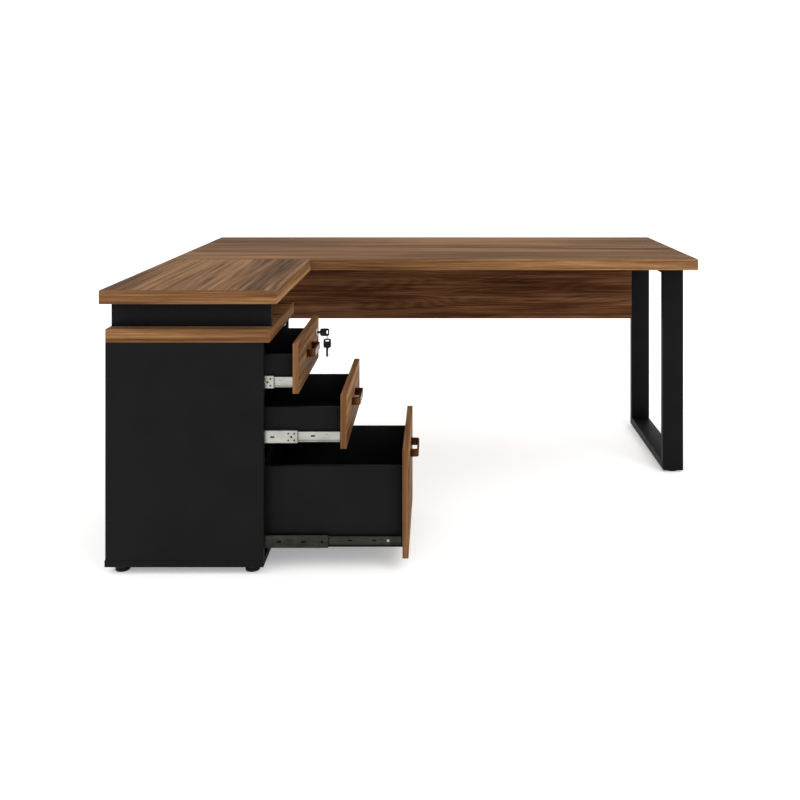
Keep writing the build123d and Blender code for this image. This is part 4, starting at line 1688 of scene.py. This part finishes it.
# ---------------------------------------------------------------- leg frames
@dataclass
class LegFrame:
    """A closed leg frame: four mitred tubes, welded and ground, and the tabs that carry the top."""

    side: str
    finishes: Finishes
    body: str = "frame"
    tube_width: float = 70.0 * MM
    tube: float = 30.0 * MM
    tube_round: float = 2.5 * MM
    seam: float = 0.3 * MM
    cut_long: float = 5.0 * MM  # the tubes are cut this much too long and mitred back
    tab_thickness: float = 3.0 * MM
    tab_width: float = 40.0 * MM
    tab_inset: float = 130.0 * MM
    tab_ease: float = 0.6 * MM

    def mitred(
        self, low: Place, high: Place, ends: Sequence[tuple[Vector, Vector]]
    ) -> bpy.types.Object:
        """Models one tube: rounded along its corners, its ends cut off at 45 degrees.

        Args:
            low: Its lowest corner.
            high: Its highest corner.
            ends: A point on each mitre, and the way that the waste lies from it.

        Returns:
            The tube.
        """
        tube = block("tube", low, high)
        ease_edges(tube, self.tube_round, 4)
        for point, waste in ends:
            away = waste.normalized()
            saw_off(tube, point - away * self.seam / 2, away)
        ease_edges(tube, self.seam, 1)
        return tube

    def build(self) -> None:
        """Models the loop and its screw tabs."""
        node = f"{self.side}_leg_frame"
        low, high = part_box(node)
        if self.side == "right":
            tube_x, tab_x = (high.x - self.tube_width, high.x), (low.x, high.x - self.tube_width)
        else:
            tube_x, tab_x = (low.x, low.x + self.tube_width), (low.x + self.tube_width, high.x)
        near_low, near_high = Vector((0, low.y, low.z)), Vector((0, low.y, high.z))
        far_low = Vector((0, high.y, low.z))
        post = self.mitred(
            (tube_x[0], low.y, low.z - self.cut_long),
            (tube_x[1], low.y + self.tube, high.z + self.cut_long),
            [(near_low, Vector((0, 1, -1))), (near_high, Vector((0, 1, 1)))],
        )
        sole = self.mitred(
            (tube_x[0], low.y - self.cut_long, low.z),
            (tube_x[1], high.y + self.cut_long, low.z + self.tube),
            [(near_low, Vector((0, -1, 1))), (far_low, Vector((0, 1, 1)))],
        )
        parts = [
            post,
            mirrored(post, "tube", Y, (low.y + high.y) / 2),
            sole,
            mirrored(sole, "tube", Z, (low.z + high.z) / 2),
        ]
        for y in (low.y + self.tab_inset, high.y - self.tab_inset):
            tab = block(
                "tab",
                (tab_x[0], y - self.tab_width / 2, high.z - self.tab_thickness),
                (tab_x[1], y + self.tab_width / 2, high.z),
            )
            ease_edges(tab, self.tab_ease)
            parts.append(tab)
        piece = weld(f"{self.side}_leg_loop", parts)
        shade(piece)
        dress(piece, self.finishes.powder_coat)
        seat(piece, self.body, "black_powder_coat", node)


@dataclass
class Fittings:
    """The modesty panel, the glides, and the small steel that ties the worktops together."""

    finishes: Finishes
    body: str = "frame"
    cut_at: Place = (0.2, 0.5, 0.6)
    panel_ease: float = 0.3 * MM
    lower_band: float = 2.0 * MM
    lower_band_round: float = 0.9 * MM
    steel: float = 2.0 * MM
    steel_ease: float = 0.3 * MM
    strip_width: float = 40.0 * MM
    hole_radius: float = 2.0 * MM
    punch_depth: float = 10.0 * MM
    bracket_spacing: float = 400.0 * MM
    bend_radius: float = 3.0 * MM
    plate_corner: float = 5.0 * MM
    plate_hole_insets: tuple[float, float] = (15.0 * MM, 37.5 * MM)
    glide_radius: float = 23.0 * MM
    glide_stem: float = 5.0 * MM
    glide_ease: float = 1.2 * MM

    def punch(self, at: Place, axis: int) -> bpy.types.Object:
        """Adds the punch for one screw hole, through its axis."""
        return turned_disc("punch", at, self.hole_radius, self.punch_depth, axis, 24)

    def panel(self) -> None:
        """Models the modesty panel and the band along its lower edge."""
        low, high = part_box("modesty_panel")
        seam = low.z + self.lower_band
        panel = block("modesty_board", (low.x, low.y, seam), high)
        ease_edges(panel, self.panel_ease)
        # The panel's print is darkened with painted shade from the worktop above it.
        dress(panel, Finishes.shaded_walnut("modesty", self.cut_at))
        seat(panel, self.body, "walnut_laminate", "modesty_panel")
        band = block("modesty_edge_band", low, (high.x, high.y, seam))

        def below(middle: Vector, direction: Vector) -> bool:
            """Passes the band's two long lower edges."""
            return abs(direction.x) > SQUARE and beside(middle.z, low.z)

        round_edges(band, below, self.lower_band_round, 3)
        shade(band)
        dress(band, Finishes.edge_band("modesty", Grain.ALONG_X, self.cut_at))
        seat(band, self.body, "walnut_edge_band", "modesty_panel")

    def brackets(self) -> None:
        """Models the angle brackets behind the panel: one folded strip and copies along X."""
        low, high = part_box("modesty_brackets")
        right = low.x + self.strip_width
        angle = block("angle_bracket_1", low, (right, high.y, high.z))
        with edit_mode(angle):
            pick_faces(angle, lambda centre, normal: normal.y > -SQUARE and normal.z < SQUARE)
            bpy.ops.mesh.delete(type="FACE")
        round_edges(
            angle,
            lambda middle, direction: beside(middle.y, low.y) and beside(middle.z, high.z),
            self.bend_radius,
            5,
        )
        fold_strip(angle, self.steel)
        x, y, z = (low.x + right) / 2, (low.y + high.y) / 2, (low.z + high.z) / 2
        carve(angle, [self.punch((x, y, high.z), Z), self.punch((x, low.y, z), Y)])
        self.fix_row(angle, "angle_bracket", 4, self.bracket_spacing, "modesty_brackets")

    def plates(self) -> None:
        """Models the two flat plates under the seam of the tops."""
        low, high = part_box("joining_plates")
        right = low.x + self.strip_width
        plate = block("joining_plate_1", low, (right, high.y, high.z))
        round_edges(plate, runs_along(Z), self.plate_corner, 5)
        spots = [low.y + inset for inset in self.plate_hole_insets]
        spots += [high.y - inset for inset in self.plate_hole_insets]
        x, z = (low.x + right) / 2, (low.z + high.z) / 2
        carve(plate, [self.punch((x, y, z), Z) for y in spots])
        self.fix_row(plate, "joining_plate", 2, high.x - right, "joining_plates")

    def fix_row(
        self, first: bpy.types.Object, name: str, count: int, pitch: float, node: str
    ) -> None:
        """Finishes a steel fitting and seats it, with copies of it along X.

        Args:
            first: The fitting as it was modelled.
            name: What the copies are called, before their numbers.
            count: How many there are in all.
            pitch: The distance from one to the next, in metres.
            node: The model's node that they stand for.
        """
        ease_edges(first, self.steel_ease, 1)
        dress(first, self.finishes.zinc)
        for piece in row_of(first, name, count, pitch):
            seat(piece, self.body, "zinc_steel", node)

    def glides(self) -> None:
        """Models the four round glides under the leg frames, one and three copies of it."""
        low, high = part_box("leg_glides")
        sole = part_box("right_leg_frame")[0].z
        radius = self.glide_radius
        first = (low.x + radius, low.y + radius, sole / 2)
        glide = turned_disc("glide_1", first, radius, sole, Z, 64)
        with edit_mode(glide):
            pick_faces(glide, lambda middle, normal: normal.z > SQUARE)
            bpy.ops.mesh.inset(thickness=radius - self.glide_stem)
            bpy.ops.mesh.extrude_region_move(
                TRANSFORM_OT_translate={"value": (0, 0, high.z - sole)}
            )
        ease_edges(glide, self.glide_ease, 3)
        dress(glide, self.finishes.nylon)
        reach = Vector((high.x - low.x - 2 * radius, high.y - low.y - 2 * radius, 0))
        others = [
            copy_of(glide, f"glide_{number}", (reach.x * x, reach.y * y, 0))
            for number, (x, y) in enumerate(((1, 0), (0, 1), (1, 1)), 2)
        ]
        for piece in (glide, *others):
            seat(piece, self.body, "black_nylon", "leg_glides")

    def build(self) -> None:
        """Models the panel and the fittings."""
        self.panel()
        self.brackets()
        self.plates()
        keep_node("structure_screws", self.finishes.zinc)
        self.glides()


# ---------------------------------------------------------------- studio
@dataclass(frozen=True)
class Panel:
    """A square of soft light that is aimed at the desk."""

    name: str
    at: Place
    size: float
    watts: float


@dataclass
class Studio:
    """A plain pale floor, soft light, and a level camera in front of the return."""

    focal_length: float = 39.84
    sensor_width: float = 36.0
    camera_at: Place = (0.0072, -2.973, 1.1314)
    shift: tuple[float, float] = (-0.0457, -0.3196)
    floor_size: float = 60.0
    floor_colour: str = "#F4F4F3"
    floor_roughness: float = 0.85
    floor_glow: float = 0.3
    sky: float = 1.05
    panels: tuple[Panel, ...] = (
        Panel("key_panel", (2.6, -3.2, 3.2), 2.2, 60.0),
        Panel("fill_panel", (-3.2, -2.4, 2.4), 2.6, 18.0),
    )
    aim: Place = (0.0, 0.0, 0.45)

    def camera(self) -> None:
        """Adds the camera: level, looking along +Y, its frame shifted down onto the desk."""
        data = bpy.data.cameras.new("camera")
        data.lens = self.focal_length
        data.sensor_width = self.sensor_width
        data.shift_x, data.shift_y = self.shift
        camera = bpy.data.objects.new("camera", data)
        camera.location = self.camera_at
        camera.rotation_euler = (math.pi / 2, 0, 0)
        bpy.context.scene.collection.objects.link(camera)
        bpy.context.scene.camera = camera

    def floor(self) -> None:
        """Adds the floor out to the horizon: a light table that glows a little from below."""
        clear_selection()
        bpy.ops.mesh.primitive_plane_add(size=self.floor_size, location=(0, 0, 0))
        plane = settle("floor")
        material, tree, shader = new_material("pale_floor")
        feed(
            tree,
            shader,
            {
                "Base Color": colour(self.floor_colour),
                "Roughness": self.floor_roughness,
                "Specular IOR Level": 0.0,
                "Emission Color": (1, 1, 1, 1),
                "Emission Strength": self.floor_glow,
            },
        )
        dress(plane, material)

    def lights(self) -> None:
        """Adds an even sky and the soft panels, from the front right and the front left."""
        world = bpy.data.worlds.new("sky")
        world.use_nodes = True
        sky = world.node_tree.nodes["Background"]
        sky.inputs["Color"].default_value = (1, 1, 1, 1)
        sky.inputs["Strength"].default_value = self.sky
        bpy.context.scene.world = world
        for panel in self.panels:
            data = bpy.data.lights.new(panel.name, "AREA")
            data.shape = "SQUARE"
            data.size = panel.size
            data.energy = panel.watts
            light = bpy.data.objects.new(panel.name, data)
            light.location = panel.at
            aim = Vector(self.aim) - Vector(panel.at)
            light.rotation_euler = aim.to_track_quat("-Z", "Y").to_euler()
            bpy.context.scene.collection.objects.link(light)

    def build(self) -> None:
        """Sets up the whole studio."""
        self.camera()
        self.floor()
        self.lights()
        bpy.context.scene.view_settings.view_transform = "Standard"


def main() -> None:
    """Builds the desk's looks in order and writes how large they came out."""
    logging.basicConfig(level=logging.INFO, format="%(name)s: %(message)s")
    Studio().build()
    finishes = Finishes()
    Worktops().build()
    Pedestal(finishes).build()
    for storey in Storey:
        Drawer(storey, finishes).build()
        RunnerPair(storey, finishes).build()
    LockSet(finishes).build()
    for side in ("right", "left"):
        LegFrame(side, finishes).build()
    Fittings(finishes).build()


if __name__ == "__main__":
    main()
